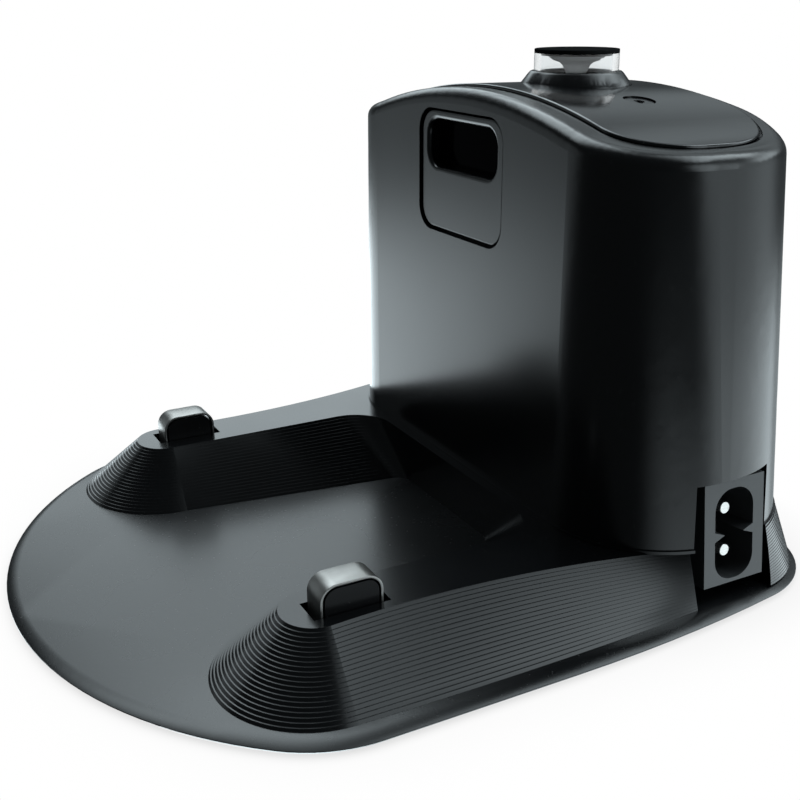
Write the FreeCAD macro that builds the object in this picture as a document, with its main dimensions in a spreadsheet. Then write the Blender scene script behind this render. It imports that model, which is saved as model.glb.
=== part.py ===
import FreeCAD, Part
import Sketcher
import math
import os

Vector = FreeCAD.Vector
Rotation = FreeCAD.Rotation
Placement = FreeCAD.Placement

doc = FreeCAD.newDocument("ChargingDock")
sheet = doc.addObject("Spreadsheet::Sheet", "Sizes")
aliases = []
finished = []


class Length:
    """A length known both as a sheet formula and as its present value."""

    def __init__(self, text, value):
        self.text = text
        self.value = float(value)

    def __float__(self):
        return self.value

    def __add__(self, other):
        other = as_length(other)
        return Length("(%s + %s)" % (self.text, other.text), self.value + other.value)

    def __sub__(self, other):
        other = as_length(other)
        return Length("(%s - %s)" % (self.text, other.text), self.value - other.value)

    def __mul__(self, other):
        other = as_length(other)
        return Length("(%s * %s)" % (self.text, other.text), self.value * other.value)

    def __truediv__(self, other):
        other = as_length(other)
        return Length("(%s / %s)" % (self.text, other.text), self.value / other.value)

    def __neg__(self):
        return Length("(0 - %s)" % self.text, -self.value)


def as_length(thing):
    if isinstance(thing, Length):
        return thing
    return Length(str(thing), thing)


def size(alias, value):
    aliases.append(alias)
    name_cell = "A%d" % len(aliases)
    value_cell = "B%d" % len(aliases)
    sheet.set(name_cell, alias)
    sheet.set(value_cell, value)
    sheet.setAlias(value_cell, alias)
    sheet.recompute()
    return Length("Sizes." + alias, sheet.get(alias))


# Base plate outline, measured from the middle of the plate
plate_half_width = size("plate_half_width", "66")
plate_depth = size("plate_depth", "151.2")
front_radius = size("front_radius", "77.2")
shoulder_radius = size("shoulder_radius", "26")
taper_start = size("taper_start", "8")
taper_radius = size("taper_radius", "330")
rear_radius = size("rear_radius", "22")

# Heights and thicknesses of the base plate
pad_proud = size("pad_proud", "0.4")
plate_thickness = size("plate_thickness", "2")
rim_bevel = size("rim_bevel", "1.1")
rim_under = size("rim_under", "0.7")
pad_radius = size("pad_radius", "6")
pad_recess = size("pad_recess", "0.8")
pad_clearance = size("pad_clearance", "0.1")
pad_front_y = size("pad_front_y", "-64")
pad_side_inset = size("pad_side_inset", "14")
pad_side_y = size("pad_side_y", "-13")
pad_rear_x = size("pad_rear_x", "30")
pad_rear_y = size("pad_rear_y", "66")

# Stepped housing of the two arms, foot outline and crest outline
deck_height = size("deck_height", "13.6")
deck_thickness = size("deck_thickness", "2.2")
terrace_count = size("terrace_count", "21")
terrace_lean = size("terrace_lean", "0.6")
housing_wall = size("housing_wall", "2.2")
channel_back = size("channel_back", "19")
channel_corner_foot = size("channel_corner_foot", "4")
channel_corner_crest = size("channel_corner_crest", "9.5")
inner_rear_inset = size("inner_rear_inset", "24.1")
inner_tip_inset = size("inner_tip_inset", "17.9")
inner_crest_inset = size("inner_crest_inset", "7.1")
foot_margin_tip = size("foot_margin_tip", "3.9")
slope_run_tip = size("slope_run_tip", "12.2")
foot_margin_mid = size("foot_margin_mid", "3.6")
slope_run_mid = size("slope_run_mid", "11")
foot_margin_end = size("foot_margin_end", "4.8")
foot_margin_rear = size("foot_margin_rear", "4.8")
crest_margin = size("crest_margin", "0.5")
tip_foot_y = size("tip_foot_y", "-33")
tip_crest_y = size("tip_crest_y", "-32")
side_mid_y = size("side_mid_y", "11")
side_end_y = size("side_end_y", "45")
deck_ledge = size("deck_ledge", "4.6")

# Tower shell
tower_side_margin = size("tower_side_margin", "6.1")
tower_front_y = size("tower_front_y", "21.2")
tower_foot_back = size("tower_foot_back", "73.6")
tower_foot_front_radius = size("tower_foot_front_radius", "23")
tower_foot_flat = size("tower_foot_flat", "1.4")
tower_top_level = size("tower_top_level", "98")
tower_side_draft = size("tower_side_draft", "6")
tower_top_back = size("tower_top_back", "70.8")
tower_top_front_radius = size("tower_top_front_radius", "17")
tower_top_flat = size("tower_top_flat", "5")
tower_wall = size("tower_wall", "2.4")
crown_height = size("crown_height", "94")
top_fall = size("top_fall", "0.016")
crown_radius = size("crown_radius", "140")
flank_radius = size("flank_radius", "90")
flank_inset = size("flank_inset", "1.9")
wave_overrun = size("wave_overrun", "2.1")
wave_floor = size("wave_floor", "5")
top_edge_radius = size("top_edge_radius", "3")
top_thickness = size("top_thickness", "2.2")
bead_proud = size("bead_proud", "0.35")
bead_height = size("bead_height", "0.6")
lip_thickness = size("lip_thickness", "1.6")
lip_drop = size("lip_drop", "1.8")
lip_clearance = size("lip_clearance", "0.2")
lip_floor = size("lip_floor", "1.6")
column_radius = size("column_radius", "3.8")
column_height = size("column_height", "40")
column_front_inset = size("column_front_inset", "16.9")
column_front_y = size("column_front_y", "34")
column_rear_inset = size("column_rear_inset", "17.9")
column_rear_y = size("column_rear_y", "59")
column_web = size("column_web", "2")

# Screws from below and their seats
screw_radius = size("screw_radius", "1.5")
screw_length = size("screw_length", "9")
screw_head_radius = size("screw_head_radius", "2.8")
screw_head_height = size("screw_head_height", "1.8")
screw_head_seat = size("screw_head_seat", "2.6")
screw_clearance = size("screw_clearance", "0.3")
screw_grip = size("screw_grip", "0.05")
screw_point_room = size("screw_point_room", "0.5")
seat_radius = size("seat_radius", "4.6")
seat_height = size("seat_height", "2")
arm_screw_outset = size("arm_screw_outset", "3.5")
arm_screw_y = size("arm_screw_y", "2")
arm_boss_radius = size("arm_boss_radius", "2.6")

# Top panel let into the tower
panel_side_margin = size("panel_side_margin", "4.3")
panel_front = size("panel_front", "28.2")
panel_back = size("panel_back", "66.6")
panel_front_radius = size("panel_front_radius", "13")
panel_flat = size("panel_flat", "2.5")
panel_thickness = size("panel_thickness", "1.6")
panel_gap = size("panel_gap", "0.6")
panel_proud = size("panel_proud", "0.6")
panel_edge_radius = size("panel_edge_radius", "0.5")

# Beacon on the tower
beacon_y = size("beacon_y", "49.55")
lens_radius = size("lens_radius", "8.8")
lens_wall = size("lens_wall", "1.3")
lens_top = size("lens_top", "99.75")
lens_bottom = size("lens_bottom", "85")
lens_flange_radius = size("lens_flange_radius", "10.4")
lens_flange_height = size("lens_flange_height", "1.5")
lens_clearance = size("lens_clearance", "0.15")
collar_seat = size("collar_seat", "92.7")
collar_edge = size("collar_edge", "93.7")
collar_top = size("collar_top", "96.2")
collar_radius = size("collar_radius", "11.5")
collar_top_radius = size("collar_top_radius", "9.9")
collar_soft = size("collar_soft", "0.45")
cap_thickness = size("cap_thickness", "0.85")
cap_plug = size("cap_plug", "0.45")
reflector_radius = size("reflector_radius", "6.2")
reflector_waist_radius = size("reflector_waist_radius", "3.6")
reflector_waist_depth = size("reflector_waist_depth", "1.9")
reflector_tip_radius = size("reflector_tip_radius", "2")
reflector_depth = size("reflector_depth", "4.4")

# Indicator beside the beacon
indicator_x = size("indicator_x", "22.5")
indicator_y = size("indicator_y", "48.2")
indicator_radius = size("indicator_radius", "2.85")
indicator_gap = size("indicator_gap", "0.35")
indicator_sink = size("indicator_sink", "0.3")
pipe_radius = size("pipe_radius", "0.95")
pipe_foot_radius = size("pipe_foot_radius", "2.2")
pipe_foot_thickness = size("pipe_foot_thickness", "0.8")
pipe_clearance = size("pipe_clearance", "0.1")

# Signal board under the beacon
board_thickness = size("board_thickness", "1.6")
signal_board_left = size("signal_board_left", "14")
signal_board_right = size("signal_board_right", "28")
signal_board_half = size("signal_board_half", "11")
beacon_led_radius = size("beacon_led_radius", "2.5")
beacon_led_height = size("beacon_led_height", "6")
indicator_led_side = size("indicator_led_side", "2")
indicator_led_height = size("indicator_led_height", "0.8")

# Emitter bezel in the tower's front
bezel_half = size("bezel_half", "15.9")
bezel_low = size("bezel_low", "64.15")
bezel_high = size("bezel_high", "88.7")
bezel_radius = size("bezel_radius", "4.5")
bezel_gap = size("bezel_gap", "0.5")
bezel_setback = size("bezel_setback", "0.5")
bezel_flange = size("bezel_flange", "1.6")
bezel_flange_thickness = size("bezel_flange_thickness", "1.4")
slot_half = size("slot_half", "13.2")
slot_low = size("slot_low", "77.1")
slot_high = size("slot_high", "86.9")
slot_radius = size("slot_radius", "3.6")
slot_lip = size("slot_lip", "0.9")
window_margin = size("window_margin", "1.6")
window_thickness = size("window_thickness", "1.5")
emitter_post_x = size("emitter_post_x", "11")
emitter_post_z = size("emitter_post_z", "69")
emitter_post_radius = size("emitter_post_radius", "2")
emitter_post_length = size("emitter_post_length", "9")
emitter_board_half = size("emitter_board_half", "14")
emitter_board_low = size("emitter_board_low", "65.5")
emitter_board_high = size("emitter_board_high", "86")
emitter_led_x = size("emitter_led_x", "6.5")
emitter_led_z = size("emitter_led_z", "82")
emitter_led_radius = size("emitter_led_radius", "2.5")
emitter_led_height = size("emitter_led_height", "6.5")

# Mains inlet in the tower's end
inlet_inset = size("inlet_inset", "1.1")
inlet_y = size("inlet_y", "47.9")
inlet_z = size("inlet_z", "15.2")
inlet_tilt = size("inlet_tilt", "6.5")
inlet_width = size("inlet_width", "14.7")
inlet_above = size("inlet_above", "10.8")
inlet_below = size("inlet_below", "9.8")
inlet_depth = size("inlet_depth", "12")
inlet_cavity_depth = size("inlet_cavity_depth", "9.5")
inlet_lobe_radius = size("inlet_lobe_radius", "4.75")
inlet_corner_radius = size("inlet_corner_radius", "4.2")
inlet_waist = size("inlet_waist", "4.6")
inlet_notch_half = size("inlet_notch_half", "1.7")
inlet_flange_setback = size("inlet_flange_setback", "5")
inlet_flange_thickness = size("inlet_flange_thickness", "1.5")
inlet_flange_margin = size("inlet_flange_margin", "1.7")
pin_pitch = size("pin_pitch", "8.6")
pin_radius = size("pin_radius", "1.2")
pin_shank_radius = size("pin_shank_radius", "0.9")
pin_setback = size("pin_setback", "2.5")
pin_tail = size("pin_tail", "3")
pin_fit = size("pin_fit", "0.02")
pocket_front = size("pocket_front", "37.9")
pocket_rear = size("pocket_rear", "57.2")
pocket_high = size("pocket_high", "26.6")
pocket_depth = size("pocket_depth", "8.3")
cradle_rear_inset = size("cradle_rear_inset", "13.2")
cradle_front_inset = size("cradle_front_inset", "8.8")
cradle_wall = size("cradle_wall", "1.5")
cradle_height = size("cradle_height", "18")
cradle_clearance = size("cradle_clearance", "0.1")

# Sprung charging contacts
contact_inset = size("contact_inset", "21.9")
contact_y = size("contact_y", "-26.6")
contact_top = size("contact_top", "19.2")
contact_slot_half_x = size("contact_slot_half_x", "3.13")
contact_slot_half_y = size("contact_slot_half_y", "7.25")
contact_side_clearance = size("contact_side_clearance", "0.3")
contact_end_clearance = size("contact_end_clearance", "1.3")
strap_thickness = size("strap_thickness", "0.5")
strap_radius = size("strap_radius", "3.2")
strap_foot_radius = size("strap_foot_radius", "0.6")
strap_foot_gap = size("strap_foot_gap", "1.6")
strap_clearance = size("strap_clearance", "0.05")
strap_air = size("strap_air", "0.35")
flange_rest_gap = size("flange_rest_gap", "0.1")
flange_thickness = size("flange_thickness", "1.6")
flange_over_x = size("flange_over_x", "0.9")
flange_over_y = size("flange_over_y", "0.9")
guide_clearance = size("guide_clearance", "0.3")
guide_wall = size("guide_wall", "1.4")
guide_foot_gap = size("guide_foot_gap", "0.1")
terminal_pad_height = size("terminal_pad_height", "0.8")
terminal_thickness = size("terminal_thickness", "0.4")
terminal_inset = size("terminal_inset", "0.3")
terminal_tab_half = size("terminal_tab_half", "1.6")
terminal_tab_length = size("terminal_tab_length", "5")
spring_radius = size("spring_radius", "2.5")
spring_wire = size("spring_wire", "0.3")
spring_turns = size("spring_turns", "4")
spring_seat_gap = size("spring_seat_gap", "0.02")

# Power board standing in the tower
board_half_width = size("board_half_width", "30")
board_low = size("board_low", "6.4")
board_high = size("board_high", "62")
board_front_y = size("board_front_y", "60.2")
rail_width = size("rail_width", "4")
rail_depth = size("rail_depth", "6")
rail_height = size("rail_height", "24")
rail_bite = size("rail_bite", "1.6")
rail_clearance = size("rail_clearance", "0.1")
core_half_x = size("core_half_x", "13")
core_depth = size("core_depth", "20")
core_low = size("core_low", "30")
core_high = size("core_high", "54")
core_centre_x = size("core_centre_x", "-8")
core_limb = size("core_limb", "4")
core_window_gap = size("core_window_gap", "0.2")
winding_over = size("winding_over", "3")
capacitor_x = size("capacitor_x", "19")
capacitor_high_z = size("capacitor_high_z", "48")
capacitor_low_z = size("capacitor_low_z", "32")
capacitor_radius = size("capacitor_radius", "6.5")
capacitor_length = size("capacitor_length", "21")
connector_half = size("connector_half", "5")
connector_depth = size("connector_depth", "8")
connector_low = size("connector_low", "9")
connector_high = size("connector_high", "19")
mains_connector_x = size("mains_connector_x", "20")
output_connector_x = size("output_connector_x", "-20")

# Wires inside
wire_radius = size("wire_radius", "0.8")
wire_bend = size("wire_bend", "4")
wire_level = size("wire_level", "5.4")
wire_rise_y = size("wire_rise_y", "-5")
wire_arm_end_y = size("wire_arm_end_y", "24")
wire_left_cross_y = size("wire_left_cross_y", "38")
wire_right_cross_y = size("wire_right_cross_y", "31")
wire_spread = size("wire_spread", "2.5")
signal_wire_y = size("signal_wire_y", "56")
signal_wire_x = size("signal_wire_x", "6")
emitter_wire_x = size("emitter_wire_x", "2")

doc.recompute()

# Levels and spans that follow from the sizes above
tower_foot_half = plate_half_width - tower_side_margin
tower_top_half = tower_foot_half - tower_side_draft
panel_half = tower_top_half - panel_side_margin
wave_half_span = tower_foot_half + wave_overrun
flank_centre_x = tower_foot_half - flank_inset
outer_foot_tip = plate_half_width - foot_margin_tip
outer_crest_tip = outer_foot_tip - slope_run_tip
outer_foot_mid = plate_half_width - foot_margin_mid
outer_crest_mid = outer_foot_mid - slope_run_mid
outer_foot_end = plate_half_width - foot_margin_end
outer_foot_rear = plate_half_width - foot_margin_rear
contact_x = plate_half_width - contact_inset
inner_crest = contact_x - inner_crest_inset
inner_foot_tip = contact_x - inner_tip_inset
inner_foot_rear = contact_x - inner_rear_inset
arm_screw_x = contact_x + arm_screw_outset
pad_side_x = plate_half_width - pad_side_inset
column_front_x = tower_foot_half - column_front_inset
column_rear_x = tower_foot_half - column_rear_inset
inlet_x = tower_foot_half - inlet_inset
pocket_inner_x = inlet_x - pocket_depth
cradle_inner_x = inlet_x - cradle_rear_inset
cradle_outer_x = inlet_x - cradle_front_inset
plate_low = pad_proud
plate_top = plate_low + plate_thickness
plate_back = plate_depth / 2
deck_under = deck_height - deck_thickness
seat_top = plate_top + seat_height
contact_half_x = contact_slot_half_x - contact_side_clearance
contact_half_y = contact_slot_half_y - contact_end_clearance
flange_top = deck_under - flange_rest_gap
flange_low = flange_top - flange_thickness
flange_half_x = contact_slot_half_x + flange_over_x
flange_half_y = contact_slot_half_y + flange_over_y
guide_half_x = flange_half_x + guide_clearance
guide_half_y = flange_half_y + guide_clearance
guide_top = deck_under + deck_thickness / 4
terminal_low = plate_top + terminal_pad_height
terminal_top = terminal_low + terminal_thickness
board_back_y = board_front_y + board_thickness
bezel_front = tower_front_y + bezel_setback
bezel_back = tower_front_y + tower_wall
bezel_flange_back = bezel_back + bezel_flange_thickness
emitter_board_front = bezel_flange_back + emitter_post_length
signal_board_top = lens_bottom
signal_board_low = signal_board_top - board_thickness
pipe_foot_bottom = signal_board_top + indicator_led_height + pipe_clearance
pipe_foot_top = pipe_foot_bottom + pipe_foot_thickness
tower_foot_rear_radius = tower_foot_back - tower_front_y - tower_foot_front_radius - tower_foot_flat
tower_top_rear_radius = tower_top_back - tower_front_y - tower_top_front_radius - tower_top_flat
panel_back_radius = panel_back - panel_front - panel_front_radius - panel_flat


def attach(item, field, length):
    item.setExpression(field, length.text)


def plane_of(body, role):
    for item in body.Origin.OriginFeatures:
        if item.Role == role:
            return item
    raise ValueError(role)


def new_body(name):
    return doc.addObject("PartDesign::Body", name)


def body_sketch(body, name, role, offset=None):
    item = body.newObject("Sketcher::SketchObject", name)
    item.AttachmentSupport = [(plane_of(body, role), "")]
    item.MapMode = "FlatFace"
    if offset is not None:
        item.AttachmentOffset = Placement(Vector(0, 0, float(offset)), Rotation())
        attach(item, "AttachmentOffset.Base.z", offset)
    return item


def level_sketch(name, level):
    item = doc.addObject("Sketcher::SketchObject", name)
    item.Placement = Placement(Vector(0, 0, float(level)), Rotation())
    attach(item, "Placement.Base.z", level)
    return item


def upright_sketch(name, depth):
    item = doc.addObject("Sketcher::SketchObject", name)
    turn = Rotation(Vector(1, 0, 0), 90)
    item.Placement = Placement(Vector(0, float(depth), 0), turn)
    attach(item, "Placement.Base.y", depth)
    return item


def rule(item, kind, places, length):
    index = item.addConstraint(Sketcher.Constraint(kind, *places, float(length)))
    attach(item, "Constraints[%d]" % index, length)


def join(item, first, second):
    item.addConstraint(Sketcher.Constraint("Coincident", first, 2, second, 1))


def flow(item, first, second):
    item.addConstraint(Sketcher.Constraint("Tangent", first, 2, second, 1))


def line(item, start, end):
    first = Vector(float(start[0]), float(start[1]), 0)
    last = Vector(float(end[0]), float(end[1]), 0)
    return item.addGeometry(Part.LineSegment(first, last))


def arc(item, centre, radius, start, end):
    ring = Part.Circle(Vector(centre[0], centre[1], 0), Vector(0, 0, 1), radius)
    return item.addGeometry(Part.ArcOfCircle(ring, start, end))


def polygon(item, corners):
    count = len(corners)
    sides = []
    for index in range(count):
        sides.append(line(item, corners[index], corners[(index + 1) % count]))
    for index in range(count):
        join(item, sides[index], sides[(index + 1) % count])
    for side, corner in zip(sides, corners):
        rule(item, "DistanceX", (-1, 1, side, 1), as_length(corner[0]))
        rule(item, "DistanceY", (-1, 1, side, 1), as_length(corner[1]))
    return sides


def rectangle(item, left, right, low, high):
    return polygon(item, [(left, low), (right, low), (right, high), (left, high)])


def circle(item, across, along, radius):
    ring = Part.Circle(Vector(float(across), float(along), 0), Vector(0, 0, 1), float(radius))
    index = item.addGeometry(ring)
    rule(item, "DistanceX", (-1, 1, index, 3), as_length(across))
    rule(item, "DistanceY", (-1, 1, index, 3), as_length(along))
    rule(item, "Radius", (index,), radius)
    return index


def rounded(item, left, right, low, high, low_radius, high_radius):
    """Rectangle with one corner radius at the low edge and one at the high edge."""
    x0, x1 = float(left), float(right)
    y0, y1 = float(low), float(high)
    a, b = float(low_radius), float(high_radius)
    quarter = math.pi / 2
    low_side = line(item, (x0 + a, y0), (x1 - a, y0))
    low_right = arc(item, (x1 - a, y0 + a), a, -quarter, 0)
    right_side = line(item, (x1, y0 + a), (x1, y1 - b))
    high_right = arc(item, (x1 - b, y1 - b), b, 0, quarter)
    high_side = line(item, (x1 - b, y1), (x0 + b, y1))
    high_left = arc(item, (x0 + b, y1 - b), b, quarter, 2 * quarter)
    left_side = line(item, (x0, y1 - b), (x0, y0 + a))
    low_left = arc(item, (x0 + a, y0 + a), a, 2 * quarter, 3 * quarter)
    loop = [low_side, low_right, right_side, high_right, high_side, high_left, left_side, low_left]
    for index, piece in enumerate(loop):
        flow(item, piece, loop[(index + 1) % len(loop)])
    item.addConstraint(Sketcher.Constraint("Horizontal", low_side))
    item.addConstraint(Sketcher.Constraint("Horizontal", high_side))
    item.addConstraint(Sketcher.Constraint("Vertical", left_side))
    item.addConstraint(Sketcher.Constraint("Vertical", right_side))
    rule(item, "DistanceY", (-1, 1, low_side, 1), as_length(low))
    rule(item, "DistanceY", (-1, 1, high_side, 1), as_length(high))
    rule(item, "DistanceX", (-1, 1, left_side, 1), as_length(left))
    rule(item, "DistanceX", (-1, 1, right_side, 1), as_length(right))
    rule(item, "Radius", (low_right,), low_radius)
    rule(item, "Radius", (low_left,), low_radius)
    rule(item, "Radius", (high_right,), high_radius)
    rule(item, "Radius", (high_left,), high_radius)
    return loop


def pad(body, item, length, both=False, back=False):
    step = body.newObject("PartDesign::Pad", item.Name + "Pad")
    step.Profile = item
    step.Length = float(length)
    attach(step, "Length", length)
    if both:
        step.Midplane = True
    if back:
        step.Reversed = True
    return step


def pocket(body, item, length, up=False):
    step = body.newObject("PartDesign::Pocket", item.Name + "Pocket")
    step.Profile = item
    step.Length = float(length)
    attach(step, "Length", length)
    if up:
        step.Reversed = True
    return step


def revolve(body, item):
    step = body.newObject("PartDesign::Revolution", item.Name + "Turn")
    step.Profile = item
    step.ReferenceAxis = (item, ["V_Axis"])
    step.Angle = 360
    return step


def extrude(name, item, length, both=False):
    step = doc.addObject("Part::Extrusion", name)
    step.Base = item
    step.DirMode = "Normal"
    step.LengthFwd = float(length)
    attach(step, "LengthFwd", length)
    step.Solid = True
    step.Symmetric = both
    return step


def block(name, left, right, front, back, low, high):
    item = doc.addObject("Part::Box", name)
    attach(item, "Length", right - left)
    attach(item, "Width", back - front)
    attach(item, "Height", high - low)
    attach(item, "Placement.Base.x", left)
    attach(item, "Placement.Base.y", front)
    attach(item, "Placement.Base.z", low)
    return item


def rod(name, across, along, low, high, radius):
    item = doc.addObject("Part::Cylinder", name)
    attach(item, "Radius", radius)
    attach(item, "Height", high - low)
    attach(item, "Placement.Base.x", across)
    attach(item, "Placement.Base.y", along)
    attach(item, "Placement.Base.z", low)
    return item


def forward_rod(name, across, front, back, level, radius):
    item = doc.addObject("Part::Cylinder", name)
    item.Placement = Placement(Vector(0, 0, 0), Rotation(Vector(1, 0, 0), -90))
    attach(item, "Radius", radius)
    attach(item, "Height", back - front)
    attach(item, "Placement.Base.x", across)
    attach(item, "Placement.Base.y", front)
    attach(item, "Placement.Base.z", level)
    return item


def fuse(name, shapes):
    item = doc.addObject("Part::MultiFuse", name)
    item.Shapes = shapes
    item.Refine = True
    return item


def cut(name, base, tool):
    item = doc.addObject("Part::Cut", name)
    item.Base = base
    item.Tool = tool
    item.Refine = False
    return item


def common(name, first, second):
    item = doc.addObject("Part::Common", name)
    item.Base = first
    item.Tool = second
    return item


def group(name, shapes):
    item = doc.addObject("Part::Compound", name)
    item.Links = shapes
    return item


def finish(item, label):
    item.Label = label
    finished.append(item)


def at(item, across, along, level):
    attach(item, "Placement.Base.x", across)
    attach(item, "Placement.Base.y", along)
    attach(item, "Placement.Base.z", level)


# Base plate: arc at the front, slightly tapering sides, rounded rear corners
front_centre_y = front_radius - plate_back
half = float(plate_half_width)
front_r = float(front_radius)
front_y = float(front_centre_y)
shoulder_r = float(shoulder_radius)
taper_r = float(taper_radius)
taper_y = float(taper_start)
rear_r = float(rear_radius)
back_y = float(plate_back)
shoulder_x = half - shoulder_r
shoulder_y = front_y - math.sqrt((front_r - shoulder_r) ** 2 - shoulder_x ** 2)
shoulder_turn = math.atan2(shoulder_y - front_y, shoulder_x)
taper_x = half - taper_r
rear_y = back_y - rear_r
rear_x = taper_x + math.sqrt((taper_r - rear_r) ** 2 - (rear_y - taper_y) ** 2)
rear_turn = math.atan2(rear_y - taper_y, rear_x - taper_x)
straight = math.pi
quarter_turn = math.pi / 2

plate = new_body("BasePlate")
outline = body_sketch(plate, "PlateOutline", "XY_Plane", plate_low)
front_arc = arc(outline, (0, front_y), front_r, -straight - shoulder_turn, shoulder_turn)
right_shoulder = arc(outline, (shoulder_x, shoulder_y), shoulder_r, shoulder_turn, 0)
right_side = line(outline, (half, shoulder_y), (half, taper_y))
right_taper = arc(outline, (taper_x, taper_y), taper_r, 0, rear_turn)
right_rear = arc(outline, (rear_x, rear_y), rear_r, rear_turn, quarter_turn)
rear_side = line(outline, (rear_x, back_y), (-rear_x, back_y))
left_rear = arc(outline, (-rear_x, rear_y), rear_r, quarter_turn, straight - rear_turn)
left_taper = arc(outline, (-taper_x, taper_y), taper_r, straight - rear_turn, straight)
left_side = line(outline, (-half, taper_y), (-half, shoulder_y))
left_shoulder = arc(outline, (-shoulder_x, shoulder_y), shoulder_r, straight, straight - shoulder_turn)
plate_loop = [front_arc, right_shoulder, right_side, right_taper, right_rear]
plate_loop += [rear_side, left_rear, left_taper, left_side, left_shoulder]
for index, piece in enumerate(plate_loop):
    flow(outline, piece, plate_loop[(index + 1) % len(plate_loop)])
outline.addConstraint(Sketcher.Constraint("PointOnObject", front_arc, 3, -2))
outline.addConstraint(Sketcher.Constraint("Vertical", right_side))
outline.addConstraint(Sketcher.Constraint("Vertical", left_side))
outline.addConstraint(Sketcher.Constraint("Horizontal", rear_side))
rule(outline, "DistanceY", (-1, 1, front_arc, 3), front_centre_y)
rule(outline, "Radius", (front_arc,), front_radius)
rule(outline, "DistanceX", (-1, 1, right_side, 1), plate_half_width)
rule(outline, "DistanceX", (-1, 1, left_side, 1), -plate_half_width)
rule(outline, "DistanceY", (-1, 1, rear_side, 1), plate_back)
for shoulder, taper, corner in (
    (right_shoulder, right_taper, right_rear),
    (left_shoulder, left_taper, left_rear),
):
    rule(outline, "Radius", (shoulder,), shoulder_radius)
    rule(outline, "Radius", (taper,), taper_radius)
    rule(outline, "Radius", (corner,), rear_radius)
    rule(outline, "DistanceY", (-1, 1, taper, 3), taper_start)
plate_pad = pad(plate, outline, plate_thickness)
doc.recompute()

# The plate's edge is bevelled all round, above and below
top_edges = []
for index, edge in enumerate(plate_pad.Shape.Edges):
    if abs(edge.BoundBox.ZMin - float(plate_top)) < float(pin_fit):
        top_edges.append("Edge%d" % (index + 1))
bevel = plate.newObject("PartDesign::Chamfer", "RimBevel")
bevel.Base = (plate_pad, top_edges)
bevel.Size = float(rim_bevel)
attach(bevel, "Size", rim_bevel)
doc.recompute()
low_edges = []
for index, edge in enumerate(bevel.Shape.Edges):
    if abs(edge.BoundBox.ZMax - float(plate_low)) < float(pin_fit):
        low_edges.append("Edge%d" % (index + 1))
under = plate.newObject("PartDesign::Chamfer", "RimUnder")
under.Base = (bevel, low_edges)
under.Size = float(rim_under)
attach(under, "Size", rim_under)
doc.recompute()

# Raised seats for the screws, pads under the contacts, rails and inlet cradle
screw_places = [
    (column_front_x, column_front_y),
    (-column_front_x, column_front_y),
    (column_rear_x, column_rear_y),
    (-column_rear_x, column_rear_y),
    (arm_screw_x, arm_screw_y),
    (-arm_screw_x, arm_screw_y),
]
seats = body_sketch(plate, "ScrewSeats", "XY_Plane", plate_top)
for place in screw_places:
    circle(seats, place[0], place[1], seat_radius)
pad(plate, seats, seat_height)
contact_pads = body_sketch(plate, "ContactPads", "XY_Plane", plate_top)
pad_half_x = guide_half_x - terminal_inset
pad_half_y = guide_half_y - terminal_inset
for side in (contact_x, -contact_x):
    rectangle(
        contact_pads,
        side - pad_half_x,
        side + pad_half_x,
        contact_y - pad_half_y,
        contact_y + pad_half_y,
    )
pad(plate, contact_pads, terminal_pad_height)
rails = body_sketch(plate, "BoardRails", "XY_Plane", plate_top)
rail_inner = board_half_width - rail_bite
rail_outer = rail_inner + rail_width
rail_front = (board_front_y + board_back_y) / 2 - rail_depth / 2
rail_back = rail_front + rail_depth
rectangle(rails, rail_inner, rail_outer, rail_front, rail_back)
rectangle(rails, -rail_outer, -rail_inner, rail_front, rail_back)
pad(plate, rails, rail_height - plate_top)
cradle = body_sketch(plate, "InletCradle", "XY_Plane", plate_top)
cradle_front = inlet_y - inlet_width / 2 - cradle_clearance
cradle_rear = inlet_y + inlet_width / 2 + cradle_clearance
rectangle(cradle, cradle_inner_x, cradle_outer_x, cradle_front - cradle_wall, cradle_front)
rectangle(cradle, cradle_inner_x, cradle_outer_x, cradle_rear, cradle_rear + cradle_wall)
pad(plate, cradle, cradle_height - plate_top)
rail_slots = body_sketch(plate, "RailSlots", "XY_Plane", rail_height)
slot_outer = board_half_width + rail_clearance
slot_front = board_front_y - rail_clearance
slot_back = board_back_y + rail_clearance
rectangle(rail_slots, rail_inner - rail_clearance, slot_outer, slot_front, slot_back)
rectangle(rail_slots, -slot_outer, rail_clearance - rail_inner, slot_front, slot_back)
pocket(plate, rail_slots, rail_height - board_low)
screw_heads = body_sketch(plate, "ScrewHeads", "XY_Plane", plate_low)
for place in screw_places:
    circle(screw_heads, place[0], place[1], screw_head_radius + screw_clearance)
pocket(plate, screw_heads, screw_head_seat - plate_low, up=True)
screw_holes = body_sketch(plate, "ScrewHoles", "XY_Plane", plate_low)
for place in screw_places:
    circle(screw_holes, place[0], place[1], screw_radius + screw_clearance)
pocket(plate, screw_holes, seat_top - plate_low, up=True)
pad_places = [
    (as_length(0), pad_front_y),
    (pad_side_x, pad_side_y),
    (-pad_side_x, pad_side_y),
    (pad_rear_x, pad_rear_y),
    (-pad_rear_x, pad_rear_y),
]
pad_recesses = body_sketch(plate, "PadRecesses", "XY_Plane", plate_low)
for place in pad_places:
    circle(pad_recesses, place[0], place[1], pad_radius + pad_clearance)
pocket(plate, pad_recesses, pad_recess, up=True)
finish(plate, "base_plate")

# Rubber pads glued into the plate's underside
pads = []
for index, place in enumerate(pad_places):
    top = plate_low + pad_recess
    pads.append(rod("FootPad%d" % index, place[0], place[1], as_length(0), top, pad_radius))
finish(group("FootPads", pads), "foot_pads")


def between(low, high, share):
    return float(low) + (float(high) - float(low)) * share


def arc_edge(start, middle, end):
    return Part.Arc(start, middle, end).toShape()


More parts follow.
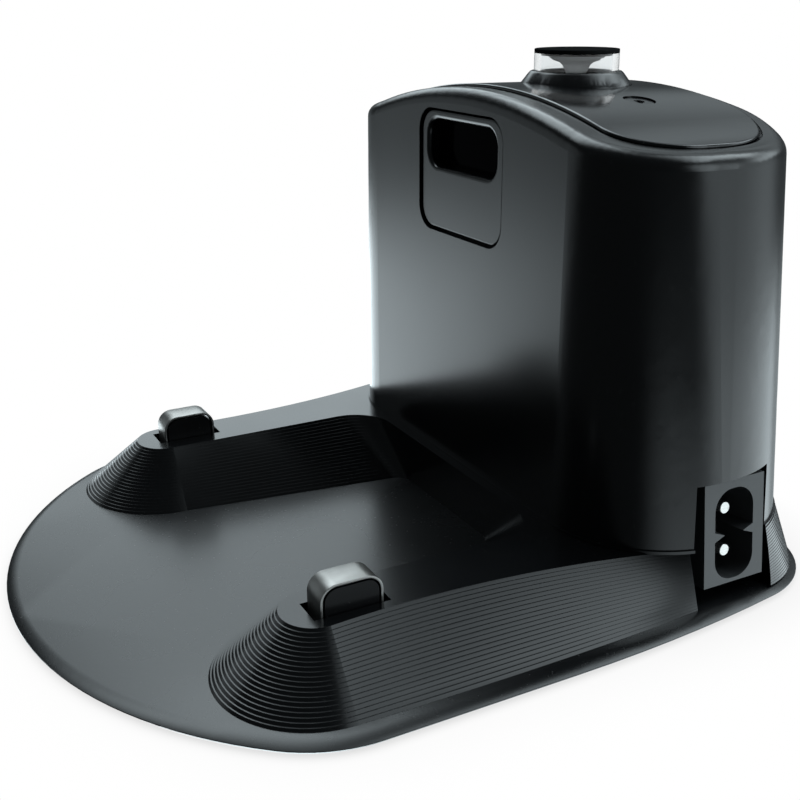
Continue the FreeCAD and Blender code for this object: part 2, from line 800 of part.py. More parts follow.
def terrace(share, inset, level):
    """Outline of the stepped housing: share 0 is the foot and 1 is the crest."""
    z = float(level)
    inset = float(inset)
    crest_half = tower_foot_half + crest_margin
    crest_back = tower_foot_back + crest_margin
    foot_back = plate_back - rim_bevel
    crest_rear_radius = tower_foot_rear_radius + crest_margin
    channel = float(channel_back) + inset
    corner = between(channel_corner_foot, channel_corner_crest, share) + inset
    inner_rear = between(inner_foot_rear, inner_crest, share) + inset
    inner_tip = between(inner_foot_tip, inner_crest, share) + inset
    outer_tip = between(outer_foot_tip, outer_crest_tip, share) - inset
    outer_mid = between(outer_foot_mid, outer_crest_mid, share) - inset
    outer_end = between(outer_foot_end, crest_half, share) - inset
    outer_rear = between(outer_foot_rear, crest_half, share) - inset
    back = between(foot_back, crest_back, share) - inset
    rear = between(rear_radius - rim_bevel, crest_rear_radius, share) - inset
    tip_radius = (outer_tip - inner_tip) / 2
    tip_x = (outer_tip + inner_tip) / 2
    tip_y = between(tip_foot_y, tip_crest_y, share)
    lean = math.sqrt(0.5)

    def side(sign):
        def spot(x, y):
            return Vector(sign * x, y, z)

        start = spot(inner_rear - corner, channel)
        turn = spot(inner_rear - corner + corner * lean, channel - corner + corner * lean)
        inner_start = spot(inner_rear, channel - corner)
        inner_end = spot(inner_tip, tip_y)
        nose = spot(tip_x, tip_y - tip_radius)
        outer_start = spot(outer_tip, tip_y)
        middle = spot(outer_mid, float(side_mid_y))
        outer_stop = spot(outer_end, float(side_end_y))
        rear_start = spot(outer_rear, back - rear)
        rear_turn_spot = spot(outer_rear - rear + rear * lean, back - rear + rear * lean)
        rear_end = spot(outer_rear - rear, back)
        edges = [
            arc_edge(start, turn, inner_start),
            Part.LineSegment(inner_start, inner_end).toShape(),
            arc_edge(inner_end, nose, outer_start),
            arc_edge(outer_start, middle, outer_stop),
            Part.LineSegment(outer_stop, rear_start).toShape(),
            arc_edge(rear_start, rear_turn_spot, rear_end),
        ]
        return start, edges, rear_end

    right_first, right_edges, right_last = side(1)
    left_first, left_edges, left_last = side(-1)
    loop = list(right_edges)
    loop.append(Part.LineSegment(right_last, left_last).toShape())
    loop += list(reversed(left_edges))
    loop.append(Part.LineSegment(left_first, right_first).toShape())
    return Part.Wire(Part.__sortEdges__(loop))


# Stepped housing: stacked terraces with leaning fronts, hollow below
steps = int(round(float(terrace_count)))
pitch = (float(deck_height) - float(plate_top)) / steps
lean = float(terrace_lean)
slabs = []
for index in range(steps):
    low = float(plate_top) + index * pitch
    tread = terrace(index / (steps - 1 + lean), 0, low)
    crown_line = terrace((index + lean) / (steps - 1 + lean), 0, low + pitch)
    slabs.append(Part.makeLoft([tread, crown_line], True, True))
terraces = slabs[0].multiFuse(slabs[1:])
roof_share = (float(deck_under) - float(plate_top)) / (float(deck_height) - float(plate_top))
hollow_foot = terrace(0, housing_wall, plate_top)
hollow_roof = terrace(roof_share, housing_wall, deck_under)
hollow = Part.makeLoft([hollow_foot, hollow_roof], True, True)
stepped = doc.addObject("Part::Feature", "SteppedShell")
stepped.Shape = terraces.cut(hollow)
stepped.Placement = Placement(Vector(0, 0, 0), Rotation())

housing_parts = [stepped]
housing_tools = []
for side, tag in ((contact_x, "Right"), (-contact_x, "Left")):
    left = side - guide_half_x - guide_wall
    right = side + guide_half_x + guide_wall
    front = contact_y - guide_half_y - guide_wall
    rear = contact_y + guide_half_y + guide_wall
    housing_parts.append(
        block("Guide" + tag, left, right, front, rear, plate_top + guide_foot_gap, guide_top)
    )
    housing_tools.append(
        block(
            "GuideBore" + tag,
            side - guide_half_x,
            side + guide_half_x,
            contact_y - guide_half_y,
            contact_y + guide_half_y,
            plate_low,
            deck_under,
        )
    )
    housing_tools.append(
        block(
            "ContactSlot" + tag,
            side - contact_slot_half_x,
            side + contact_slot_half_x,
            contact_y - contact_slot_half_y,
            contact_y + contact_slot_half_y,
            plate_low,
            deck_height + deck_thickness,
        )
    )
    tab_half = terminal_tab_half + terminal_inset
    tab_high = terminal_top + wire_radius * 3
    housing_tools.append(
        block("TabNotch" + tag, side - tab_half, side + tab_half, contact_y, rear, plate_low, tab_high)
    )
for side, tag in ((arm_screw_x, "Right"), (-arm_screw_x, "Left")):
    hole_top = screw_head_seat + screw_length + screw_point_room
    housing_parts.append(
        rod("ArmBoss" + tag, side, arm_screw_y, seat_top, hole_top + screw_point_room, arm_boss_radius)
    )
    housing_tools.append(
        rod("ArmBossBore" + tag, side, arm_screw_y, plate_low, hole_top, screw_radius + screw_grip)
    )
opening_sketch = level_sketch("DeckOpening", plate_low)
rounded(
    opening_sketch,
    deck_ledge - tower_foot_half,
    tower_foot_half - deck_ledge,
    tower_front_y + deck_ledge,
    tower_foot_back - deck_ledge,
    tower_foot_front_radius - deck_ledge,
    tower_foot_rear_radius - deck_ledge,
)
housing_tools.append(extrude("DeckOpeningCut", opening_sketch, deck_height + deck_thickness))
housing_tools.append(
    block(
        "HousingInletPocket",
        pocket_inner_x,
        plate_half_width + rim_bevel,
        pocket_front,
        pocket_rear,
        plate_low,
        deck_height + deck_thickness,
    )
)
housing_solid = fuse("HousingSolid", housing_parts)
housing_voids = fuse("HousingVoids", housing_tools)
finish(cut("ArmHousing", housing_solid, housing_voids), "arm_housing")


def tower_outline(name, level, half_span, back, front_radius_here, rear_radius_here, inset):
    item = level_sketch(name, level)
    rounded(
        item,
        inset - half_span,
        half_span - inset,
        tower_front_y + inset,
        back - inset,
        front_radius_here - inset,
        rear_radius_here - inset,
    )
    return item


def tower_loft(name, inset):
    foot = tower_outline(
        name + "Foot",
        deck_height,
        tower_foot_half,
        tower_foot_back,
        tower_foot_front_radius,
        tower_foot_rear_radius,
        inset,
    )
    head = tower_outline(
        name + "Head",
        tower_top_level,
        tower_top_half,
        tower_top_back,
        tower_top_front_radius,
        tower_top_rear_radius,
        inset,
    )
    item = doc.addObject("Part::Loft", name)
    item.Sections = [foot, head]
    item.Solid = True
    item.Ruled = True
    return item


def wave(name, drop):
    """Solid below the tower's waved top, lowered by the given drop."""
    crest = crown_height - drop
    crown_y = crest - crown_radius
    reach = float(crown_radius) + float(flank_radius)
    rise = math.sqrt(reach ** 2 - float(flank_centre_x) ** 2)
    flank_y = float(crown_y) + rise
    turn = math.atan2(float(flank_centre_x), rise)
    span = float(wave_half_span)
    tail = math.asin((span - float(flank_centre_x)) / float(flank_radius))
    end_y = flank_y - float(flank_radius) * math.cos(tail)
    item = upright_sketch(name + "Profile", as_length(0))
    floor = float(wave_floor)
    centre_x = float(flank_centre_x)
    radius = float(flank_radius)
    down = -math.pi / 2
    bottom = line(item, (-span, floor), (span, floor))
    right = line(item, (span, floor), (span, end_y))
    right_flank = arc(item, (centre_x, flank_y), radius, down - turn, down + tail)
    crown = arc(item, (0, float(crown_y)), float(crown_radius), -down - turn, -down + turn)
    left_flank = arc(item, (-centre_x, flank_y), radius, down - tail, down + turn)
    left = line(item, (-span, end_y), (-span, floor))
    join(item, bottom, right)
    item.addConstraint(Sketcher.Constraint("Coincident", right, 2, right_flank, 2))
    item.addConstraint(Sketcher.Constraint("Tangent", right_flank, 1, crown, 1))
    item.addConstraint(Sketcher.Constraint("Tangent", crown, 2, left_flank, 2))
    item.addConstraint(Sketcher.Constraint("Coincident", left_flank, 1, left, 1))
    join(item, left, bottom)
    item.addConstraint(Sketcher.Constraint("Horizontal", bottom))
    item.addConstraint(Sketcher.Constraint("Vertical", right))
    item.addConstraint(Sketcher.Constraint("Vertical", left))
    item.addConstraint(Sketcher.Constraint("PointOnObject", crown, 3, -2))
    rule(item, "DistanceY", (-1, 1, crown, 3), crown_y)
    rule(item, "Radius", (crown,), crown_radius)
    rule(item, "Radius", (right_flank,), flank_radius)
    rule(item, "Radius", (left_flank,), flank_radius)
    rule(item, "DistanceX", (-1, 1, right_flank, 3), flank_centre_x)
    rule(item, "DistanceX", (-1, 1, left_flank, 3), -flank_centre_x)
    rule(item, "DistanceX", (-1, 1, right, 1), wave_half_span)
    rule(item, "DistanceX", (-1, 1, left, 1), -wave_half_span)
    rule(item, "DistanceY", (-1, 1, bottom, 1), wave_floor)
    step = extrude(name, item, plate_depth * 2, both=True)
    step.DirMode = "Custom"
    step.Dir = Vector(0, 1, -float(top_fall))
    return step


# Tower shell: drafted ends and back, waved top with a rounded edge
tower_body = common("TowerSolid", tower_loft("TowerOuter", as_length(0)), wave("WaveTop", as_length(0)))
doc.recompute()
rim_edges = []
for index, edge in enumerate(tower_body.Shape.Edges):
    span = edge.BoundBox
    runs_over_top = span.XLength < float(pin_fit) and span.YLength > float(panel_front)
    if span.ZMin > float(bezel_low) and not runs_over_top:
        rim_edges.append((index + 1, float(top_edge_radius), float(top_edge_radius)))
tower_skin = doc.addObject("Part::Fillet", "TowerSkin")
tower_skin.Base = tower_body
tower_skin.Edges = rim_edges
tower_inside = common(
    "TowerInside",
    tower_loft("TowerInner", tower_wall),
    wave("WaveInside", panel_thickness + top_thickness),
)
tower_hull = cut("TowerHull", tower_skin, tower_inside)

# Locating lip inside the tower's foot, and screw columns webbed to the walls
lip_outer_sketch = level_sketch("LipOuter", deck_height - lip_drop)
lip_inset = deck_ledge + lip_clearance
rounded(
    lip_outer_sketch,
    lip_inset - tower_foot_half,
    tower_foot_half - lip_inset,
    tower_front_y + lip_inset,
    tower_foot_back - lip_inset,
    tower_foot_front_radius - lip_inset,
    tower_foot_rear_radius - lip_inset,
)
lip_outer = extrude("LipOuterBlock", lip_outer_sketch, lip_drop + lip_floor)
lip_inner_sketch = level_sketch("LipInner", plate_top)
lip_bore = lip_inset + lip_thickness
rounded(
    lip_inner_sketch,
    lip_bore - tower_foot_half,
    tower_foot_half - lip_bore,
    tower_front_y + lip_bore,
    tower_foot_back - lip_bore,
    tower_foot_front_radius - lip_bore,
    tower_foot_rear_radius - lip_bore,
)
lip_inner = extrude("LipInnerBlock", lip_inner_sketch, deck_height)
foot_ring_sketch = level_sketch("FootRing", deck_height)
ring_inset = tower_wall / 2
rounded(
    foot_ring_sketch,
    ring_inset - tower_foot_half,
    tower_foot_half - ring_inset,
    tower_front_y + ring_inset,
    tower_foot_back - ring_inset,
    tower_foot_front_radius - ring_inset,
    tower_foot_rear_radius - ring_inset,
)
foot_ring = extrude("FootRingBlock", foot_ring_sketch, lip_floor)
bead_sketch = level_sketch("FootBead", deck_height)
rounded(
    bead_sketch,
    -tower_foot_half - bead_proud,
    tower_foot_half + bead_proud,
    tower_front_y - bead_proud,
    tower_foot_back + bead_proud,
    tower_foot_front_radius + bead_proud,
    tower_foot_rear_radius + bead_proud,
)
foot_bead = extrude("FootBeadBlock", bead_sketch, bead_height)
lip = cut("Lip", fuse("LipBlock", [lip_outer, foot_ring, foot_bead]), lip_inner)
tower_parts = [tower_hull, lip]
tower_tools = []
wall_middle_front = tower_front_y + tower_wall / 2
wall_middle_back = tower_top_back - tower_wall / 2
for side, tag in ((1, "Right"), (-1, "Left")):
    front_x = column_front_x * side
    rear_column_x = column_rear_x * side
    tower_parts.append(
        rod("FrontColumn" + tag, front_x, column_front_y, seat_top, column_height, column_radius)
    )
    tower_parts.append(
        rod("RearColumn" + tag, rear_column_x, column_rear_y, seat_top, column_height, column_radius)
    )
    tower_parts.append(
        block(
            "FrontWeb" + tag,
            front_x - column_web / 2,
            front_x + column_web / 2,
            wall_middle_front + top_edge_radius,
            column_front_y,
            deck_height,
            column_height,
        )
    )
    tower_parts.append(
        block(
            "RearWeb" + tag,
            rear_column_x - column_web / 2,
            rear_column_x + column_web / 2,
            column_rear_y,
            wall_middle_back - tower_wall,
            deck_height,
            column_height,
        )
    )
for index, place in enumerate(screw_places[:4]):
    hole_top = screw_head_seat + screw_length + screw_point_room
    tower_tools.append(
        rod("ColumnBore%d" % index, place[0], place[1], plate_low, hole_top, screw_radius + screw_grip)
    )

# Openings in the tower: panel recess, beacon, indicator, bezel and inlet
panel_sketch = level_sketch("PanelOutline", deck_height)
rounded(
    panel_sketch,
    -panel_half,
    panel_half,
    panel_front,
    panel_back,
    panel_front_radius,
    panel_back_radius,
)
panel_prism = extrude("PanelPrism", panel_sketch, tower_top_level)
recess_sketch = level_sketch("RecessOutline", deck_height)
rounded(
    recess_sketch,
    -panel_half - panel_gap,
    panel_half + panel_gap,
    panel_front - panel_gap,
    panel_back + panel_gap,
    panel_front_radius + panel_gap,
    panel_back_radius + panel_gap,
)
recess_prism = extrude("RecessPrism", recess_sketch, tower_top_level)
recess_floor = wave("WaveRecess", panel_thickness)
tower_tools.append(cut("PanelRecess", recess_prism, recess_floor))
tower_tools.append(
    rod(
        "BeaconHole",
        as_length(0),
        beacon_y,
        signal_board_low,
        tower_top_level,
        lens_radius + lens_clearance,
    )
)
tower_tools.append(
    rod(
        "PipeHole",
        indicator_x,
        indicator_y,
        signal_board_low,
        tower_top_level,
        pipe_radius + pipe_clearance,
    )
)
bezel_hole_sketch = upright_sketch("BezelHole", bezel_back + slot_lip)
rounded(
    bezel_hole_sketch,
    -bezel_half - bezel_gap,
    bezel_half + bezel_gap,
    bezel_low - bezel_gap,
    bezel_high + bezel_gap,
    bezel_radius + bezel_gap,
    bezel_radius + bezel_gap,
)
tower_tools.append(extrude("BezelHoleCut", bezel_hole_sketch, tower_wall * 3))
tower_tools.append(
    block(
        "TowerInletPocket",
        pocket_inner_x,
        plate_half_width,
        pocket_front,
        pocket_rear,
        plate_top,
        pocket_high,
    )
)
tower_solid = fuse("TowerWithColumns", tower_parts)
tower_voids = fuse("TowerVoids", tower_tools)
finish(cut("TowerShell", tower_solid, tower_voids), "tower_shell")

# Top panel: follows the wave, stands a little proud with a rounded edge, spot-faced for the collar
panel_top = common("PanelTop", panel_prism, wave("WavePanel", -panel_proud))
panel_slab = cut("PanelSlab", panel_top, recess_floor)
doc.recompute()
upper_edges = []
for face in panel_slab.Shape.Faces:
    u_low, u_high, v_low, v_high = face.ParameterRange
    outward = face.normalAt((u_low + u_high) / 2, (v_low + v_high) / 2)
    if outward.z > abs(outward.x) + abs(outward.y):
        upper_edges += face.Edges
panel_edges = []
for index, edge in enumerate(panel_slab.Shape.Edges):
    uses = sum(1 for other in upper_edges if other.isSame(edge))
    if uses == 1:
        panel_edges.append((index + 1, float(panel_edge_radius), float(panel_edge_radius)))
panel_blank = doc.addObject("Part::Fillet", "PanelBlank")
panel_blank.Base = panel_slab
panel_blank.Edges = panel_edges
panel_tools = [
    rod(
        "PanelBeaconHole",
        as_length(0),
        beacon_y,
        signal_board_low,
        tower_top_level,
        lens_radius + lens_clearance,
    ),
    rod(
        "CollarSpotFace",
        as_length(0),
        beacon_y,
        collar_seat,
        tower_top_level,
        collar_radius + lens_clearance,
    ),
    rod(
        "IndicatorHole",
        indicator_x,
        indicator_y,
        signal_board_low,
        tower_top_level,
        indicator_radius + indicator_gap,
    ),
]
finish(cut("TopPanel", panel_blank, fuse("PanelHoles", panel_tools)), "top_panel")

# Collar: conical ring round the lens with a softened top edge
collar = new_body("LensCollar")
collar_profile = body_sketch(collar, "CollarProfile", "XZ_Plane")
collar_bore = lens_radius + lens_clearance
polygon(
    collar_profile,
    [
        (collar_bore, collar_seat),
        (collar_radius, collar_seat),
        (collar_radius, collar_edge),
        (collar_top_radius, collar_top - collar_soft),
        (collar_top_radius - collar_soft, collar_top),
        (collar_bore, collar_top),
    ],
)
revolve(collar, collar_profile)
at(collar, as_length(0), beacon_y, as_length(0))
finish(collar, "lens_collar")

# Clear lens: tube with a flange below the tower's top
lens = new_body("BeaconLens")
lens_profile = body_sketch(lens, "LensProfile", "XZ_Plane")
beacon_crown = crown_height - top_fall * beacon_y
flange_sag = lens_flange_radius * lens_flange_radius / (crown_radius * 2)
flange_fall = top_fall * lens_flange_radius
flange_level = beacon_crown - panel_thickness - top_thickness - flange_sag - flange_fall - lens_clearance
lens_bore = lens_radius - lens_wall
polygon(
    lens_profile,
    [
        (lens_bore, lens_bottom),
        (lens_radius, lens_bottom),
        (lens_radius, flange_level - lens_flange_height),
        (lens_flange_radius, flange_level - lens_flange_height),
        (lens_flange_radius, flange_level),
        (lens_radius, flange_level),
        (lens_radius, lens_top),
        (lens_bore, lens_top),
    ],
)
revolve(lens, lens_profile)
at(lens, as_length(0), beacon_y, as_length(0))
finish(lens, "beacon_lens")

# Cap: disc with a plug that closes the lens
cap = new_body("BeaconCap")
cap_profile = body_sketch(cap, "CapProfile", "XZ_Plane")
polygon(
    cap_profile,
    [
        (as_length(0), lens_top - cap_plug),
        (lens_bore - pipe_clearance, lens_top - cap_plug),
        (lens_bore - pipe_clearance, lens_top),
        (lens_radius, lens_top),
        (lens_radius, lens_top + cap_thickness),
        (as_length(0), lens_top + cap_thickness),
    ],
)
revolve(cap, cap_profile)
at(cap, as_length(0), beacon_y, as_length(0))
finish(cap, "beacon_cap")

# Reflector: inverted cone under the cap, steeper towards its tip
reflector = new_body("BeaconReflector")
reflector_profile = body_sketch(reflector, "ReflectorProfile", "XZ_Plane")
reflector_top = lens_top - cap_plug
polygon(
    reflector_profile,
    [
        (as_length(0), reflector_top - reflector_depth),
        (reflector_tip_radius, reflector_top - reflector_depth),
        (reflector_waist_radius, reflector_top - reflector_waist_depth),
        (reflector_radius, reflector_top),
        (as_length(0), reflector_top),
    ],
)
revolve(reflector, reflector_profile)
at(reflector, as_length(0), beacon_y, as_length(0))
finish(reflector, "beacon_reflector")

# Indicator disc let into the panel, and the light pipe through it
disc_blank = rod(
    "IndicatorPrism",
    indicator_x,
    indicator_y,
    signal_board_low,
    tower_top_level,
    indicator_radius,
)
disc_top = common("IndicatorTop", disc_blank, wave("WaveIndicator", indicator_sink - panel_proud))
disc_body = cut("IndicatorBlank", disc_top, recess_floor)
disc_hole = rod(
    "IndicatorPipeHole",
    indicator_x,
    indicator_y,
    signal_board_low,
    tower_top_level,
    pipe_radius + pipe_clearance,
)
finish(cut("IndicatorDisc", disc_body, disc_hole), "indicator_disc")
pipe = new_body("LightPipe")
pipe_profile = body_sketch(pipe, "PipeProfile", "XZ_Plane")
pipe_crown = crown_height + panel_proud - indicator_sink - top_fall * indicator_y
pipe_top = pipe_crown - indicator_x * indicator_x / (crown_radius * 2)
polygon(
    pipe_profile,
    [
        (as_length(0), pipe_foot_bottom),
        (pipe_foot_radius, pipe_foot_bottom),
        (pipe_foot_radius, pipe_foot_top),
        (pipe_radius, pipe_foot_top),
        (pipe_radius, pipe_top),
        (as_length(0), pipe_top),
    ],
)
revolve(pipe, pipe_profile)
at(pipe, indicator_x, indicator_y, as_length(0))
finish(pipe, "light_pipe")

# Signal board under the lens with its two lamps
signal_board = block(
    "SignalBoard",
    -signal_board_left,
    signal_board_right,
    beacon_y - signal_board_half,
    beacon_y + signal_board_half,
    signal_board_low,
    signal_board_top,
)
finish(signal_board, "signal_board")
beacon_led_dome = doc.addObject("Part::Sphere", "BeaconLedDome")
attach(beacon_led_dome, "Radius", beacon_led_radius)
at(beacon_led_dome, as_length(0), beacon_y, signal_board_top + beacon_led_height - beacon_led_radius)
beacon_led_stem = rod(
    "BeaconLedStem",
    as_length(0),
    beacon_y,
    signal_board_top,
    signal_board_top + beacon_led_height - beacon_led_radius,
    beacon_led_radius,
)
finish(fuse("BeaconLed", [beacon_led_stem, beacon_led_dome]), "beacon_led")
indicator_led = block(
    "IndicatorLed",
    indicator_x - indicator_led_side / 2,
    indicator_x + indicator_led_side / 2,
    indicator_y - indicator_led_side / 2,
    indicator_y + indicator_led_side / 2,
    signal_board_top,
    signal_board_top + indicator_led_height,
)
finish(indicator_led, "indicator_led")

# Emitter bezel: plate set back in the tower's front, flange behind the wall, two posts
bezel = new_body("EmitterBezel")
bezel_face = body_sketch(bezel, "BezelFace", "XZ_Plane", -bezel_back)
rounded(bezel_face, -bezel_half, bezel_half, bezel_low, bezel_high, bezel_radius, bezel_radius)
pad(bezel, bezel_face, bezel_back - bezel_front)
bezel_rear = body_sketch(bezel, "BezelFlange", "XZ_Plane", -bezel_flange_back)
flange_radius = bezel_radius + bezel_flange
rounded(
    bezel_rear,
    -bezel_half - bezel_flange,
    bezel_half + bezel_flange,
    bezel_low - bezel_flange,
    bezel_high,
    flange_radius,
    bezel_radius,
)
pad(bezel, bezel_rear, bezel_flange_thickness)
posts = body_sketch(bezel, "BezelPosts", "XZ_Plane", -bezel_flange_back)
circle(posts, emitter_post_x, emitter_post_z, emitter_post_radius)
circle(posts, -emitter_post_x, emitter_post_z, emitter_post_radius)
pad(bezel, posts, emitter_post_length, back=True)
slot = body_sketch(bezel, "BezelSlot", "XZ_Plane", -tower_front_y)
rounded(slot, -slot_half, slot_half, slot_low, slot_high, slot_radius, slot_radius)
slot_cut = pocket(bezel, slot, bezel_flange_back - tower_front_y)
doc.recompute()
lip_edges = []
for index, edge in enumerate(slot_cut.Shape.Edges):
    span = edge.BoundBox
    on_front = span.YMax < float(bezel_front) + float(pin_fit)
    within = max(abs(span.XMin), abs(span.XMax)) < float(slot_half) + float(pin_fit)
    upper = span.ZMin > float(slot_low) - float(pin_fit)
    below_top = span.ZMax < float(slot_high) + float(pin_fit)
    if on_front and within and upper and below_top:
        lip_edges.append("Edge%d" % (index + 1))
slot_bevel = bezel.newObject("PartDesign::Fillet", "SlotLip")
slot_bevel.Base = (slot_cut, lip_edges)
slot_bevel.Radius = float(slot_lip)
attach(slot_bevel, "Radius", slot_lip)
finish(bezel, "emitter_bezel")

# Dark window behind the slot
window = new_body("IrWindow")
window_face = body_sketch(window, "WindowFace", "XZ_Plane", -bezel_flange_back)
rounded(
    window_face,
    -slot_half - window_margin,
    slot_half + window_margin,
    slot_low - window_margin,
    slot_high + window_margin,
    slot_radius + window_margin,
    slot_radius + window_margin,
)
pad(window, window_face, window_thickness, back=True)
finish(window, "ir_window")

# Emitter board on the bezel's posts, and its two lamps facing the window
finish(
    block(
        "EmitterBoard",
        -emitter_board_half,
        emitter_board_half,
        emitter_board_front,
        emitter_board_front + board_thickness,
        emitter_board_low,
        emitter_board_high,
    ),
    "emitter_board",
)
emitters = []
for side, tag in ((emitter_led_x, "Right"), (-emitter_led_x, "Left")):
    nose = emitter_board_front - emitter_led_height + emitter_led_radius
    stem = forward_rod(
        "EmitterStem" + tag, side, nose, emitter_board_front, emitter_led_z, emitter_led_radius
    )
    dome = doc.addObject("Part::Sphere", "EmitterDome" + tag)
    attach(dome, "Radius", emitter_led_radius)
    at(dome, side, nose, emitter_led_z)
    emitters.append(fuse("Emitter" + tag, [stem, dome]))
finish(group("FrontEmitters", emitters), "front_emitters")

# Mains inlet: tilted socket with a figure-eight cavity and a flange that closes the pocket
inlet = new_body("InletSocket")
inlet_face = body_sketch(inlet, "InletFace", "YZ_Plane")
rectangle(inlet_face, -inlet_width / 2, inlet_width / 2, -inlet_below, inlet_above)
pad(inlet, inlet_face, inlet_depth, back=True)
inlet_flange = body_sketch(inlet, "InletFlange", "YZ_Plane", -inlet_flange_setback)
flange_half_y_in = inlet_width / 2 + inlet_flange_margin
flange_high_in = inlet_above + inlet_flange_margin
rectangle(inlet_flange, -flange_half_y_in, flange_half_y_in, -inlet_below, flange_high_in)
pad(inlet, inlet_flange, inlet_flange_thickness, back=True)
cavity = body_sketch(inlet, "InletCavity", "YZ_Plane")
cavity_half = pin_pitch / 2 + inlet_lobe_radius
rounded(
    cavity,
    -inlet_lobe_radius,
    inlet_lobe_radius,
    -cavity_half,
    cavity_half,
    inlet_corner_radius,
    inlet_corner_radius,
)
pocket(inlet, cavity, inlet_cavity_depth)
notches = body_sketch(inlet, "InletNotches", "YZ_Plane")
notch_root = inlet_width / 2 - cradle_wall / 2
notch_tip = inlet_waist / 2
polygon(
    notches,
    [(notch_root, -inlet_notch_half), (notch_root, inlet_notch_half), (notch_tip, as_length(0))],
)
polygon(
    notches,
    [(-notch_root, inlet_notch_half), (-notch_root, -inlet_notch_half), (-notch_tip, as_length(0))],
)
pad(inlet, notches, inlet_cavity_depth, back=True)
pin_holes = body_sketch(inlet, "InletPinHoles", "YZ_Plane")
circle(pin_holes, as_length(0), pin_pitch / 2, pin_shank_radius + pin_fit)
circle(pin_holes, as_length(0), -pin_pitch / 2, pin_shank_radius + pin_fit)
pocket(inlet, pin_holes, inlet_depth)

# Pins of the inlet: a free end in the cavity and a thinner shank pressed through its floor
pins = []
for sign, tag in ((1, "Upper"), (-1, "Lower")):
    pin = new_body("InletPin" + tag)
    free_end = body_sketch(pin, "PinFreeEnd" + tag, "YZ_Plane", -pin_setback)
    circle(free_end, as_length(0), pin_pitch / 2 * sign, pin_radius)
    pad(pin, free_end, inlet_cavity_depth - pin_setback, back=True)
    shank = body_sketch(pin, "PinShank" + tag, "YZ_Plane", -inlet_cavity_depth)
    circle(shank, as_length(0), pin_pitch / 2 * sign, pin_shank_radius)
    pad(pin, shank, inlet_depth - inlet_cavity_depth + pin_tail, back=True)
    pins.append(pin)
inlet_pins = group("InletPinPair", pins)
for item in (inlet, inlet_pins):
    item.Placement = Placement(Vector(0, 0, 0), Rotation(Vector(0, 1, 0), -float(inlet_tilt)))
    at(item, inlet_x, inlet_y, inlet_z)
finish(inlet, "inlet_socket")
finish(inlet_pins, "inlet_pins")


# Sprung contacts, each spring swept in short arcs
spring_arc = 0.25


